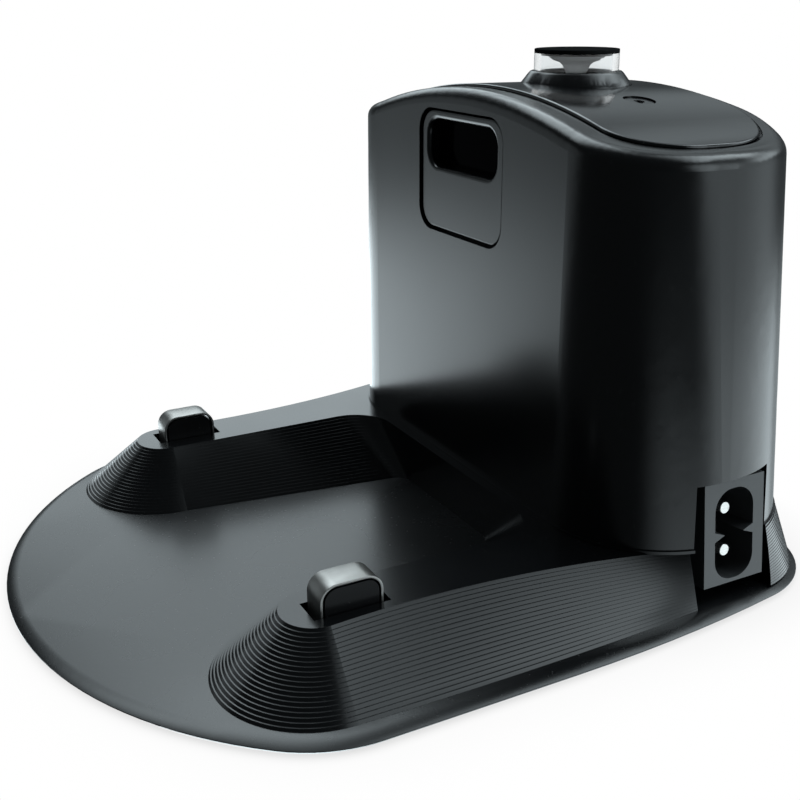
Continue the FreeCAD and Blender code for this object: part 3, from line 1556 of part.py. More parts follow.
def contact_parts(tag, side_x):
    """One sprung contact: block, strap, terminal and spring, made at its own place."""
    body = new_body("ContactBlock" + tag)
    head = body_sketch(body, "Head" + tag, "YZ_Plane")
    head_half_y = contact_half_y - strap_thickness - strap_air
    head_top = contact_top - strap_thickness - strap_air
    head_radius = strap_radius - strap_thickness - strap_air
    rounded(head, -head_half_y, head_half_y, flange_low, head_top, strap_clearance * 4, head_radius)
    pad(body, head, contact_half_x * 2, both=True)
    flange = body_sketch(body, "Flange" + tag, "XY_Plane", flange_low)
    rectangle(flange, -flange_half_x, flange_half_x, -flange_half_y, flange_half_y)
    pad(body, flange, flange_thickness)
    notch = body_sketch(body, "Notch" + tag, "XY_Plane", flange_top)
    notch_out = contact_half_y + strap_clearance
    notch_half = contact_half_x + strap_clearance
    rectangle(notch, -notch_half, notch_half, head_half_y, notch_out)
    rectangle(notch, -notch_half, notch_half, -notch_out, -head_half_y)
    pocket(body, notch, flange_thickness)
    at(body, side_x, contact_y, as_length(0))
    finish(body, "contact_block_" + tag.lower())

    strap = new_body("ContactStrap" + tag)
    strap_low = flange_low - strap_clearance - strap_thickness
    outer = body_sketch(strap, "StrapOuter" + tag, "YZ_Plane")
    rounded(
        outer,
        -contact_half_y,
        contact_half_y,
        strap_low,
        contact_top,
        strap_foot_radius,
        strap_radius,
    )
    pad(strap, outer, contact_half_x * 2, both=True)
    inner = body_sketch(strap, "StrapInner" + tag, "YZ_Plane", contact_half_x)
    rounded(
        inner,
        strap_thickness - contact_half_y,
        contact_half_y - strap_thickness,
        strap_low + strap_thickness,
        contact_top - strap_thickness,
        strap_foot_radius - strap_thickness,
        strap_radius - strap_thickness,
    )
    pocket(strap, inner, contact_half_x * 2)
    gap = body_sketch(strap, "StrapGap" + tag, "XY_Plane", flange_low)
    rectangle(gap, -contact_half_x * 2, contact_half_x * 2, -strap_foot_gap, strap_foot_gap)
    pocket(strap, gap, strap_thickness * 3)
    at(strap, side_x, contact_y, as_length(0))
    finish(strap, "contact_strap_" + tag.lower())

    terminal = new_body("ContactTerminal" + tag)
    leaf = body_sketch(terminal, "Leaf" + tag, "XY_Plane", terminal_low)
    leaf_half_x = guide_half_x - terminal_inset
    leaf_half_y = guide_half_y - terminal_inset
    tab_end = guide_half_y + terminal_tab_length
    polygon(
        leaf,
        [
            (-leaf_half_x, -leaf_half_y),
            (leaf_half_x, -leaf_half_y),
            (leaf_half_x, leaf_half_y),
            (terminal_tab_half, leaf_half_y),
            (terminal_tab_half, tab_end),
            (-terminal_tab_half, tab_end),
            (-terminal_tab_half, leaf_half_y),
            (-leaf_half_x, leaf_half_y),
        ],
    )
    pad(terminal, leaf, terminal_thickness)
    at(terminal, side_x, contact_y, as_length(0))
    finish(terminal, "contact_terminal_" + tag.lower())

    spring_low = terminal_top + spring_wire + spring_seat_gap
    spring_high = strap_low - spring_wire - spring_seat_gap
    helix = doc.addObject("Part::Helix", "SpringPath" + tag)
    attach(helix, "Height", spring_high - spring_low)
    attach(helix, "Pitch", (spring_high - spring_low) / spring_turns)
    attach(helix, "Radius", spring_radius)
    helix.SegmentLength = spring_arc
    at(helix, side_x, contact_y, spring_low)
    ring = doc.addObject("Part::Circle", "SpringWire" + tag)
    attach(ring, "Radius", spring_wire)
    ring.Placement = Placement(Vector(0, 0, 0), Rotation(Vector(1, 0, 0), 90))
    at(ring, side_x + spring_radius, contact_y, spring_low)
    doc.recompute()
    coil = doc.addObject("Part::Sweep", "ContactSpring" + tag)
    coil.Sections = [ring]
    coil.Spine = (helix, ["Edge%d" % (n + 1) for n in range(len(helix.Shape.Edges))])
    coil.Solid = True
    coil.Frenet = True
    finish(coil, "contact_spring_" + tag.lower())


contact_parts("Right", contact_x)
contact_parts("Left", -contact_x)

# Power board in its rails
board = block(
    "PowerBoard",
    -board_half_width,
    board_half_width,
    board_front_y,
    board_back_y,
    board_low,
    board_high,
)
finish(board, "power_board")

# Transformer: closed core with the winding on its middle limb
core_front = board_front_y - core_depth
core_left = core_centre_x - core_half_x
core_right = core_centre_x + core_half_x
core_block = block("CoreBlock", core_left, core_right, core_front, board_front_y, core_low, core_high)
core_windows = []
for sign, tag in ((1, "Right"), (-1, "Left")):
    window_outer = core_half_x - core_limb
    window_inner = core_limb
    low_x = core_centre_x + window_inner
    high_x = core_centre_x + window_outer
    if sign < 0:
        low_x = core_centre_x - window_outer
        high_x = core_centre_x - window_inner
    core_windows.append(
        block(
            "CoreWindow" + tag,
            low_x,
            high_x,
            core_front - core_limb,
            board_front_y + core_limb,
            core_low + core_limb,
            core_high - core_limb,
        )
    )
finish(cut("TransformerCore", core_block, fuse("CoreWindows", core_windows)), "transformer_core")
winding_block = block(
    "WindingBlock",
    core_centre_x - core_half_x + core_limb + core_window_gap,
    core_centre_x + core_half_x - core_limb - core_window_gap,
    core_front - winding_over,
    board_front_y - core_window_gap,
    core_low + core_limb + core_window_gap,
    core_high - core_limb - core_window_gap,
)
winding_bore = block(
    "WindingBore",
    core_centre_x - core_limb - core_window_gap,
    core_centre_x + core_limb + core_window_gap,
    core_front - core_window_gap,
    board_front_y + core_limb,
    core_low,
    core_high,
)
finish(cut("TransformerWinding", winding_block, winding_bore), "transformer_winding")

# Capacitors and connectors on the board
capacitor_front = board_front_y - capacitor_length
capacitors = [
    forward_rod(
        "CapacitorHigh", capacitor_x, capacitor_front, board_front_y, capacitor_high_z, capacitor_radius
    ),
    forward_rod(
        "CapacitorLow", capacitor_x, capacitor_front, board_front_y, capacitor_low_z, capacitor_radius
    ),
]
finish(group("Capacitors", capacitors), "capacitors")
connector_front = board_front_y - connector_depth
connectors = []
for side, tag in ((mains_connector_x, "Mains"), (output_connector_x, "Output")):
    connectors.append(
        block(
            "Connector" + tag,
            side - connector_half,
            side + connector_half,
            connector_front,
            board_front_y,
            connector_low,
            connector_high,
        )
    )
finish(group("BoardConnectors", connectors), "board_connectors")


def wire(name, corners):
    """Round wire through the corners, each bend rounded."""
    spots = [Vector(float(c[0]), float(c[1]), float(c[2])) for c in corners]
    bend = float(wire_bend)
    edges = []
    last = spots[0]
    for index in range(1, len(spots) - 1):
        before = (spots[index - 1] - spots[index]).normalize()
        after = (spots[index + 1] - spots[index]).normalize()
        half_angle = before.getAngle(after) / 2
        reach = bend / math.tan(half_angle)
        start = spots[index] + before * reach
        end = spots[index] + after * reach
        bisector = (before + after).normalize()
        centre = spots[index] + bisector * (bend / math.sin(half_angle))
        middle = centre - bisector * bend
        edges.append(Part.LineSegment(last, start).toShape())
        edges.append(Part.Arc(start, middle, end).toShape())
        last = end
    edges.append(Part.LineSegment(last, spots[-1]).toShape())
    path = Part.Wire(edges)
    heading = (spots[1] - spots[0]).normalize()
    ring = Part.Wire([Part.makeCircle(float(wire_radius), spots[0], heading)])
    item = doc.addObject("Part::Feature", name)
    item.Shape = path.makePipeShell([ring], True, False)
    item.Placement = Placement(Vector(0, 0, 0), Rotation())
    return item


# Leads from the two contacts to the output connector
tab_middle_y = contact_y + guide_half_y + terminal_tab_length / 2
lead_level = terminal_top + wire_radius
left_wire_x = output_connector_x - wire_spread
right_wire_x = output_connector_x + wire_spread
contact_leads = [
    wire(
        "ContactLeadLeft",
        [
            (-contact_x, tab_middle_y, lead_level),
            (-contact_x, wire_rise_y, wire_level),
            (-contact_x, wire_arm_end_y, wire_level),
            (left_wire_x, wire_left_cross_y, wire_level),
            (left_wire_x, connector_front - wire_bend * 2, connector_low + wire_bend),
            (left_wire_x, connector_front, connector_low + wire_bend),
        ],
    ),
    wire(
        "ContactLeadRight",
        [
            (contact_x, tab_middle_y, lead_level),
            (contact_x, wire_rise_y, wire_level),
            (contact_x, wire_arm_end_y, wire_level),
            (contact_x - wire_bend * 4, wire_right_cross_y, wire_level),
            (right_wire_x, wire_right_cross_y, wire_level),
            (right_wire_x, connector_front - wire_bend * 2, connector_low + wire_bend),
            (right_wire_x, connector_front, connector_low + wire_bend),
        ],
    ),
]
finish(group("ContactLeads", contact_leads), "contact_leads")

# Leads from the inlet's pins to the mains connector
tilt = math.radians(float(inlet_tilt))
tail_reach = float(inlet_depth) + float(pin_tail)
mains_leads = []
for sign, tag in ((1, "High"), (-1, "Low")):
    offset = sign * float(pin_pitch) / 2
    tail_x = float(inlet_x) - tail_reach * math.cos(tilt) - offset * math.sin(tilt)
    tail_z = float(inlet_z) - tail_reach * math.sin(tilt) + offset * math.cos(tilt)
    lead_in_x = tail_x - float(wire_bend) * math.cos(tilt)
    lead_in_z = tail_z - float(wire_bend) * math.sin(tilt)
    goal_x = mains_connector_x + wire_spread * sign
    goal_z = (connector_low + connector_high) / 2
    mains_leads.append(
        wire(
            "MainsLead" + tag,
            [
                (tail_x, inlet_y, tail_z),
                (lead_in_x, inlet_y, lead_in_z),
                (goal_x, inlet_y - wire_bend, goal_z),
                (goal_x, connector_front, goal_z),
            ],
        )
    )
finish(group("MainsLeads", mains_leads), "mains_leads")

# Leads from the power board to the two small boards
board_clear_z = board_high - wire_bend * 2
signal_leads = [
    wire(
        "SignalLead",
        [
            (signal_wire_x, board_front_y, board_clear_z),
            (signal_wire_x, signal_wire_y - wire_bend, board_clear_z),
            (signal_wire_x, signal_wire_y - wire_bend, signal_board_low),
        ],
    ),
    wire(
        "EmitterLead",
        [
            (emitter_wire_x, board_front_y, board_clear_z + wire_bend),
            (emitter_wire_x, emitter_board_front + wire_bend * 3, board_clear_z + wire_bend),
            (emitter_wire_x, emitter_board_front + wire_bend * 3, emitter_board_low + wire_bend),
            (emitter_wire_x, emitter_board_front + board_thickness, emitter_board_low + wire_bend),
        ],
    ),
]
finish(group("SignalLeads", signal_leads), "signal_leads")

# Screws from below
screws = []
for index, place in enumerate(screw_places):
    head = rod(
        "ScrewHead%d" % index,
        place[0],
        place[1],
        screw_head_seat - screw_head_height,
        screw_head_seat,
        screw_head_radius,
    )
    shank = rod(
        "ScrewShank%d" % index,
        place[0],
        place[1],
        screw_head_seat - screw_head_height / 2,
        screw_head_seat + screw_length,
        screw_radius,
    )
    screws.append(fuse("Screw%d" % index, [head, shank]))
finish(group("HousingScrews", screws), "housing_screws")

doc.recompute()

problems = []
for item in doc.Objects:
    if "Invalid" in item.State or "Error" in item.State:
        problems.append(item.Name)
for item in finished:
    if item.Shape.isNull() or not item.Shape.isValid():
        problems.append(item.Label)
if problems:
    raise RuntimeError("not sound: " + ", ".join(problems))

os.makedirs("parts", exist_ok=True)
for item in finished:
    item.Shape.exportStep("parts/%s.step" % item.Label)
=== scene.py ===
import math
import bpy
import bmesh
from mathutils import Matrix, Vector


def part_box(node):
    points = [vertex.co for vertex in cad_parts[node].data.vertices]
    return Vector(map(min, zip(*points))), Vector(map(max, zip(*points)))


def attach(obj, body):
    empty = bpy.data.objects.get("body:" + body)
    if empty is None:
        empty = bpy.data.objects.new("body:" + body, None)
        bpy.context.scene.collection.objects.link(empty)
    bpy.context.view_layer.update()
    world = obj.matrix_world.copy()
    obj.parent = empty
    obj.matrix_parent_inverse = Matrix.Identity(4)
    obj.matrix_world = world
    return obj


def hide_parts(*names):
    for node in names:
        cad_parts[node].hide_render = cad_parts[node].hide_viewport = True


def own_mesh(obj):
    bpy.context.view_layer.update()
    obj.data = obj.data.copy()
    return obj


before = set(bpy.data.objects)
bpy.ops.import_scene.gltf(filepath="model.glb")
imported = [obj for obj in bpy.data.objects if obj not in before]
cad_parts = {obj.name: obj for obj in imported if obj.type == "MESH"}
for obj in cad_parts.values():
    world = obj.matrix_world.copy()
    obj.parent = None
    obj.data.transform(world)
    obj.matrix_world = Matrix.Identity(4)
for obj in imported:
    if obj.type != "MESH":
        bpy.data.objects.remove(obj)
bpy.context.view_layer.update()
bpy.ops.object.select_all(action="DESELECT")

# Room: a dark studio with a wide softbox high on the left and behind, a lit table below it, and a
# dark strip where the two meet. On the right are a glowing wall, a card and more lit table; a weak
# lamp stands low on the left in front. The camera sees plain white round the dock.
scene = bpy.context.scene
scene.view_settings.view_transform = "Standard"
room = bpy.data.worlds.new("studio_room")
scene.world = room
room.use_nodes = True
room.node_tree.nodes.clear()


def wired(tree, kind, inputs, **settings):
    """A shader node with its settings; each input is a plain value or the socket that feeds it."""
    node = tree.nodes.new(kind)
    for field, value in settings.items():
        setattr(node, field, value)
    for place, value in inputs.items():
        if isinstance(value, bpy.types.NodeSocket):
            tree.links.new(value, node.inputs[place])
        else:
            node.inputs[place].default_value = value
    return node


def facing(view, way):
    """How squarely a view points one way, from -1 to 1."""
    node = wired(room.node_tree, "ShaderNodeVectorMath", {0: view, 1: way}, operation="DOT_PRODUCT")
    return node.outputs["Value"]


def faded(level, start, end, first=0.0, last=1.0, fade="SMOOTHSTEP"):
    """A level between start and end, turned into one between first and last as at a light's edge."""
    edge = {"Value": level, "From Min": start, "From Max": end, "To Min": first, "To Max": last}
    return wired(room.node_tree, "ShaderNodeMapRange", edge, interpolation_type=fade).outputs["Result"]


def together(operation, *levels):
    """One level worked out of several."""
    node = wired(room.node_tree, "ShaderNodeMath", dict(enumerate(levels)), operation=operation)
    return node.outputs["Value"]


def only_where(share, level):
    """The level where the share is 1, and full light where the share is 0."""
    node = wired(room.node_tree, "ShaderNodeMix", {"Factor": share, "A": 1.0, "B": level})
    return node.outputs["Result"]


softbox_way = (-0.574, 0.819, 0.0)
softbox_strength = 4.6
softbox_colour = (0.88, 1.0, 1.05, 1.0)
wall_way = (0.574, 0.819, 0.0)
low_lamp_way = (-0.762, -0.639, 0.10)
side_card_way = (0.84, 0.446, 0.30)
right_table_way = (0.985, 0.174, 0.0)
lowest_level = 0.48
highest_level = 0.35
view = wired(room.node_tree, "ShaderNodeTexCoord", {}).outputs["Generated"]
direction = wired(room.node_tree, "ShaderNodeSeparateXYZ", {0: view})
height = direction.outputs["Z"]
towards_box = facing(view, softbox_way)
levels = wired(room.node_tree, "ShaderNodeValToRGB", {"Fac": faded(height, -1.0, 1.0, fade="LINEAR")})
levels.color_ramp.interpolation = "EASE"
lowest, highest = levels.color_ramp.elements
lowest.position = 0.37
lowest.color = (lowest_level, lowest_level, lowest_level, 1.0)
highest.color = (highest_level, highest_level, highest_level, 1.0)
for place, level in (
    (0.43, 0.02),
    (0.59, 0.01),
    (0.65, 0.46),
    (0.69, 0.48),
    (0.74, 0.32),
    (0.77, 0.36),
    (0.83, 1.0),
    (0.89, 0.95),
):
    levels.color_ramp.elements.new(place).color = (level, level, level, 1.0)
glow = together("MULTIPLY", faded(towards_box, -0.18, 0.25), levels.outputs["Color"])
flat_view = wired(
    room.node_tree, "ShaderNodeVectorMath", {0: view, 1: (1.0, 1.0, 0.0)}, operation="MULTIPLY"
)
level_view = wired(
    room.node_tree, "ShaderNodeVectorMath", {0: flat_view.outputs["Vector"]}, operation="NORMALIZE"
)
flag = faded(facing(level_view.outputs["Vector"], softbox_way), 0.87, 0.97, 1.0, 0.17)
band = together("MULTIPLY", faded(height, -0.05, 0.05), faded(height, 0.62, 0.78, 1.0, 0.0))
narrowed = only_where(band, faded(towards_box, 0.40, 0.62))
flagged = together("MULTIPLY", glow, together("MULTIPLY", flag, narrowed))
table_light = faded(direction.outputs["X"], -1.0, 1.0, 1.6, 0.3, fade="LINEAR")
shaped = together("MULTIPLY", flagged, only_where(together("LESS_THAN", height, 0.0), table_light))
wall = together("MULTIPLY", faded(facing(view, wall_way), 0.72, 1.0, 0.0, 0.95), faded(height, -0.5, -0.25))
low_lamp = faded(facing(view, low_lamp_way), 0.90, 0.985, 0.06, 0.4)
side_card = faded(facing(view, side_card_way), 0.92, 0.985, 0.0, 1.8)
cards = together("ADD", together("ADD", wall, low_lamp), side_card)
right_table = faded(facing(view, right_table_way), 0.55, 0.95, 0.0, 1.3)
fill = together("MULTIPLY_ADD", right_table, faded(height, -0.42, -0.21, 1.0, 0.0), cards)
studio = wired(
    room.node_tree,
    "ShaderNodeBackground",
    {"Color": softbox_colour, "Strength": together("MULTIPLY_ADD", shaped, softbox_strength, fill)},
)
white = wired(room.node_tree, "ShaderNodeBackground", {"Color": (1.0, 1.0, 1.0, 1.0)})
ray = wired(room.node_tree, "ShaderNodeLightPath", {})
seen = together("MAXIMUM", ray.outputs["Is Camera Ray"], ray.outputs["Is Transmission Ray"])
backdrop = wired(
    room.node_tree,
    "ShaderNodeMixShader",
    {"Fac": seen, 1: studio.outputs["Background"], 2: white.outputs["Background"]},
)
wired(room.node_tree, "ShaderNodeOutputWorld", {"Surface": backdrop.outputs["Shader"]})

# Table top: plain white sheet that the dock stands on.
# It keeps a soft shadow close to the plate and is otherwise as white as the backdrop.
table_size = 8.0
shadow_reach = 0.02
deepest_shadow = 0.7
bpy.ops.mesh.primitive_plane_add(size=table_size, location=(0.0, 0.0, 0.0))
table_top = bpy.context.object
table_top.name = "table_top"
table_top.visible_glossy = False
table_top.visible_diffuse = False
sheet = bpy.data.materials.new("white_sheet")
sheet.use_nodes = True
sheet.node_tree.nodes.clear()
shade = wired(sheet.node_tree, "ShaderNodeAmbientOcclusion", {"Distance": shadow_reach})
shadow = wired(
    sheet.node_tree, "ShaderNodeMapRange", {"Value": shade.outputs["AO"], "To Min": deepest_shadow}
)
sheet_glow = wired(sheet.node_tree, "ShaderNodeEmission", {"Strength": shadow.outputs["Result"]})
wired(sheet.node_tree, "ShaderNodeOutputMaterial", {"Surface": sheet_glow.outputs["Emission"]})
table_top.data.materials.append(sheet)

# Camera: in front and to the right of the dock, a little above it, looking down at the tower's foot.
# A normal lens close by, so the near arm is drawn clearly larger than the far one.
camera_place = Vector((0.19515, -0.09574, 0.11148))
camera_azimuth = math.radians(62.12)
camera_elevation = math.radians(20.21)
camera_roll = math.radians(-0.3)
across = Vector((math.cos(camera_azimuth), math.sin(camera_azimuth), 0.0))
backwards = Vector(
    (
        math.sin(camera_azimuth) * math.cos(camera_elevation),
        -math.cos(camera_azimuth) * math.cos(camera_elevation),
        math.sin(camera_elevation),
    )
)
upwards = backwards.cross(across)
right = across * math.cos(camera_roll) + upwards * math.sin(camera_roll)
up = upwards * math.cos(camera_roll) - across * math.sin(camera_roll)
camera_data = bpy.data.cameras.new("camera")
camera_data.lens = 49.70
camera_data.sensor_width = 36.0
camera_data.clip_start = 0.01
camera = bpy.data.objects.new("camera", camera_data)
scene.collection.objects.link(camera)
camera.matrix_world = Matrix(
    (
        (right.x, up.x, backwards.x, camera_place.x),
        (right.y, up.y, backwards.y, camera_place.y),
        (right.z, up.z, backwards.z, camera_place.z),
        (0.0, 0.0, 0.0, 1.0),
    )
)
scene.camera = camera


# Base plate: flat black floor plate with a bevelled rim, moulded in hard plastic.
# Its skin is finely spark-eroded, so it is satin, with a little dust.
# The rim's inner crease is drawn in a little, so that the rim slopes gently.
def surface_group(name, takes, gives):
    """An empty shader group with named sockets, and the nodes at its two ends."""
    group = bpy.data.node_groups.new(name, "ShaderNodeTree")
    for way, sockets in (("INPUT", takes), ("OUTPUT", gives)):
        for label, kind in sockets.items():
            group.interface.new_socket(name=label, in_out=way, socket_type="NodeSocket" + kind)
    return group, group.nodes.new("NodeGroupInput"), group.nodes.new("NodeGroupOutput")


moulded_skin, skin_in, skin_out = surface_group(
    "moulded_skin",
    {"Vector": "Vector", "Colour": "Color", "Roughness": "Float", "Grain": "Float", "Dust": "Float"},
    {"Colour": "Color", "Roughness": "Float", "Height": "Float"},
)
skin_spot = skin_in.outputs["Vector"]
pits = wired(
    moulded_skin,
    "ShaderNodeTexNoise",
    {"Vector": skin_spot, "Scale": skin_in.outputs["Grain"], "Detail": 2.0},
)
flow = wired(moulded_skin, "ShaderNodeTexNoise", {"Vector": skin_spot, "Scale": 38.0, "Detail": 3.0})
specks = wired(moulded_skin, "ShaderNodeTexNoise", {"Vector": skin_spot, "Scale": 1300.0, "Detail": 1.0})
speck_mask = wired(
    moulded_skin,
    "ShaderNodeMapRange",
    {"Value": specks.outputs["Fac"], "From Min": 0.70, "From Max": 0.78},
)
dusty = wired(
    moulded_skin,
    "ShaderNodeMath",
    {0: speck_mask.outputs["Result"], 1: skin_in.outputs["Dust"]},
    operation="MULTIPLY",
)
flow_tone = wired(
    moulded_skin,
    "ShaderNodeMapRange",
    {"Value": flow.outputs["Fac"], "From Min": 0.3, "From Max": 0.7, "To Min": 0.8, "To Max": 1.25},
)
toned = wired(
    moulded_skin,
    "ShaderNodeVectorMath",
    {0: skin_in.outputs["Colour"], "Scale": flow_tone.outputs["Result"]},
    operation="SCALE",
)
dusted = wired(
    moulded_skin,
    "ShaderNodeMix",
    {"Factor": dusty.outputs["Value"], "A": toned.outputs["Vector"], "B": (0.22, 0.22, 0.21, 1.0)},
    data_type="RGBA",
)
uneven = wired(
    moulded_skin, "ShaderNodeMapRange", {"Value": flow.outputs["Fac"], "To Min": -0.05, "To Max": 0.05}
)
duller = wired(
    moulded_skin,
    "ShaderNodeMath",
    {0: dusty.outputs["Value"], 1: 0.4, 2: uneven.outputs["Result"]},
    operation="MULTIPLY_ADD",
)
satin = wired(
    moulded_skin,
    "ShaderNodeMath",
    {0: skin_in.outputs["Roughness"], 1: duller.outputs["Value"]},
    operation="ADD",
    use_clamp=True,
)
moulded_skin.links.new(dusted.outputs["Result"], skin_out.inputs["Colour"])
moulded_skin.links.new(satin.outputs["Value"], skin_out.inputs["Roughness"])
moulded_skin.links.new(pits.outputs["Fac"], skin_out.inputs["Height"])


def new_material(name):
    """A material with its tree, its shader and the socket that says where on the piece a spot is."""
    material = bpy.data.materials.new(name)
    material.use_nodes = True
    tree = material.node_tree
    spot = wired(tree, "ShaderNodeTexCoord", {}).outputs["Object"]
    return material, tree, tree.nodes["Principled BSDF"], spot


def moulded(name, colour, roughness, grain, depth, dust):
    """Plastic with a moulded skin: grain in 1/m, depth of the grain in m."""
    material, tree, shader, spot = new_material(name)
    skin = wired(tree, "ShaderNodeGroup", {}, node_tree=moulded_skin)
    skin.inputs["Colour"].default_value = (*colour, 1.0)
    skin.inputs["Roughness"].default_value = roughness
    skin.inputs["Grain"].default_value = grain
    skin.inputs["Dust"].default_value = dust
    tree.links.new(spot, skin.inputs["Vector"])
    bump = wired(
        tree, "ShaderNodeBump", {"Strength": 0.6, "Distance": depth, "Height": skin.outputs["Height"]}
    )
    tree.links.new(skin.outputs["Colour"], shader.inputs["Base Color"])
    tree.links.new(skin.outputs["Roughness"], shader.inputs["Roughness"])
    tree.links.new(bump.outputs["Normal"], shader.inputs["Normal"])
    return material


def dress(material, *names):
    """Gives CAD pieces their material."""
    for name in names:
        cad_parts[name].data.materials.clear()
        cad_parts[name].data.materials.append(material)


def pick(piece, kind, test):
    """Selects the corners, edges or faces whose middle passes the test, in edit mode."""
    bpy.ops.mesh.select_mode(type=kind)
    bpy.ops.mesh.select_all(action="DESELECT")
    mesh = bmesh.from_edit_mesh(piece.data)
    for item in {"VERT": mesh.verts, "EDGE": mesh.edges, "FACE": mesh.faces}[kind]:
        corners = [item] if kind == "VERT" else item.verts
        middle = sum((corner.co for corner in corners), Vector()) / len(corners)
        item.select = test(middle, item)
    mesh.select_flush_mode()
    bmesh.update_edit_mesh(piece.data)


def take_up(piece):
    """Selects this piece alone, to work on."""
    bpy.ops.object.select_all(action="DESELECT")
    piece.select_set(True)
    bpy.context.view_layer.objects.active = piece


def copied(name, title):
    """A copy of a CAD piece to work on, its split corners merged, left in edit mode."""
    piece = bpy.data.objects.new(title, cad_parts[name].data.copy())
    scene.collection.objects.link(piece)
    take_up(piece)
    bpy.ops.mesh.customdata_custom_splitnormals_clear()
    bpy.ops.object.mode_set(mode="EDIT")
    bpy.ops.mesh.select_all(action="SELECT")
    bpy.ops.mesh.remove_doubles(threshold=0.000002)
    return piece


def apply_modifier(piece, kind, **settings):
    """Adds a modifier with its settings and makes it part of the mesh."""
    modifier = piece.modifiers.new(kind.lower(), kind)
    for field, value in settings.items():
        setattr(modifier, field, value)
    bpy.ops.object.modifier_apply(modifier=modifier.name)


def smooth(piece, angle):
    """Smooths the piece up to the angle and keeps its flats looking flat."""
    bpy.ops.object.mode_set(mode="OBJECT")
    bpy.ops.object.shade_smooth_by_angle(angle=math.radians(angle))
    apply_modifier(piece, "WEIGHTED_NORMAL", weight=100, keep_sharp=True)


def fit(piece, name, material, body):
    """Puts a finished piece in the place of the CAD one."""
    piece.data.materials.clear()
    piece.data.materials.append(material)
    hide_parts(name)
    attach(piece, body)


black = (0.0022, 0.0025, 0.003)
plate_plastic = moulded("plate_plastic", black, roughness=0.27, grain=1500.0, depth=0.000010, dust=0.06)
rim_level = 0.0013
plate_level = 0.0024
level_slack = 0.00002
crease_draw_in = (0.98, 0.9825, 1.0)
plate = copied("base_plate", "rimmed_plate")


def on_rim_crease(at, corner):
    meets_rim = any(abs(edge.other_vert(corner).co.z - rim_level) < level_slack for edge in corner.link_edges)
    return meets_rim and abs(at.z - plate_level) < level_slack


pick(plate, "VERT", on_rim_crease)
bpy.ops.transform.resize(value=crease_draw_in, center_override=(0.0, 0.0, 0.0))
smooth(plate, 32)
fit(plate, "base_plate", plate_plastic, "dock")


# Rubber pads: five round pads glued into the plate's underside.
# Soft grey-black rubber, matt, with a coarse moulded texture.
def soften(name, material, body, width, segments=3):
    """A copy of a CAD piece with its sharp edges rounded, in place of the CAD one."""
    piece = copied(name, "soft_" + name)
    bpy.ops.mesh.dissolve_limited(angle_limit=math.radians(1.0))
    bpy.ops.mesh.normals_make_consistent(inside=False)
    bpy.ops.object.mode_set(mode="OBJECT")
    apply_modifier(
        piece, "BEVEL", width=width, segments=segments, limit_method="ANGLE", angle_limit=math.radians(40)
    )
    smooth(piece, 40)
    fit(piece, name, material, body)


foot_rubber = moulded(
    "foot_rubber", (0.022, 0.022, 0.021), roughness=0.75, grain=900.0, depth=0.00006, dust=0.6
)
soften("foot_pads", foot_rubber, "dock", width=0.0004)

# Arm housing: one moulding with both stepped arms and the step round the tower's foot.
# The same black plastic as the plate, screwed on from below; the steps are its only ornament.
housing_plastic = moulded("housing_plastic", black, roughness=0.19, grain=1700.0, depth=0.000006, dust=0.04)
dress(housing_plastic, "arm_housing")


# Contact blocks: black guide blocks that stand in the deck's slots on their springs.
# Plain moulded plastic, duller than the housing, with the edges eased so that they slide.
def set_shine(material, level):
    """Says how strongly a plastic mirrors the room: 0.5 is plain plastic, 0 is quite dull."""
    material.node_tree.nodes["Principled BSDF"].inputs["Specular IOR Level"].default_value = level


contact_plastic = moulded(
    "contact_plastic", (0.003, 0.003, 0.0035), roughness=0.30, grain=1900.0, depth=0.000008, dust=0.1
)
set_shine(contact_plastic, 0.15)
soften("contact_block_right", contact_plastic, "contact_right", width=0.0003)
soften("contact_block_left", contact_plastic, "contact_left", width=0.0003)

# Contact straps: strips of nickel-plated spring bronze bent over the blocks, feet turned in below.
# The robot's contacts slide on them, so the top has fine scratches along the arm.
# One is bent and the other is a copy.
rubbed_metal, metal_in, metal_out = surface_group(
    "rubbed_metal",
    {"Vector": "Vector", "Colour": "Color", "Roughness": "Float", "Wear": "Float"},
    {"Colour": "Color", "Roughness": "Float", "Height": "Float"},
)
metal_spot = metal_in.outputs["Vector"]
drawn = wired(rubbed_metal, "ShaderNodeMapping", {"Vector": metal_spot, "Scale": (1.0, 0.06, 1.0)})
scratches = wired(
    rubbed_metal, "ShaderNodeTexNoise", {"Vector": drawn.outputs["Vector"], "Scale": 5200.0, "Detail": 3.0}
)
stains = wired(rubbed_metal, "ShaderNodeTexNoise", {"Vector": metal_spot, "Scale": 420.0, "Detail": 4.0})
scratch_mask = wired(
    rubbed_metal,
    "ShaderNodeMapRange",
    {"Value": scratches.outputs["Fac"], "From Min": 0.45, "From Max": 0.75},
)
worn = wired(
    rubbed_metal,
    "ShaderNodeMath",
    {0: scratch_mask.outputs["Result"], 1: metal_in.outputs["Wear"]},
    operation="MULTIPLY",
)
stain_tone = wired(
    rubbed_metal,
    "ShaderNodeMapRange",
    {"Value": stains.outputs["Fac"], "From Min": 0.3, "From Max": 0.7, "To Min": 0.9, "To Max": 1.06},
)
tarnished = wired(
    rubbed_metal,
    "ShaderNodeVectorMath",
    {0: metal_in.outputs["Colour"], "Scale": stain_tone.outputs["Result"]},
    operation="SCALE",
)
roughened = wired(
    rubbed_metal,
    "ShaderNodeMath",
    {0: worn.outputs["Value"], 1: 0.25, 2: metal_in.outputs["Roughness"]},
    operation="MULTIPLY_ADD",
    use_clamp=True,
)
rubbed_metal.links.new(tarnished.outputs["Vector"], metal_out.inputs["Colour"])
rubbed_metal.links.new(roughened.outputs["Value"], metal_out.inputs["Roughness"])
rubbed_metal.links.new(worn.outputs["Value"], metal_out.inputs["Height"])


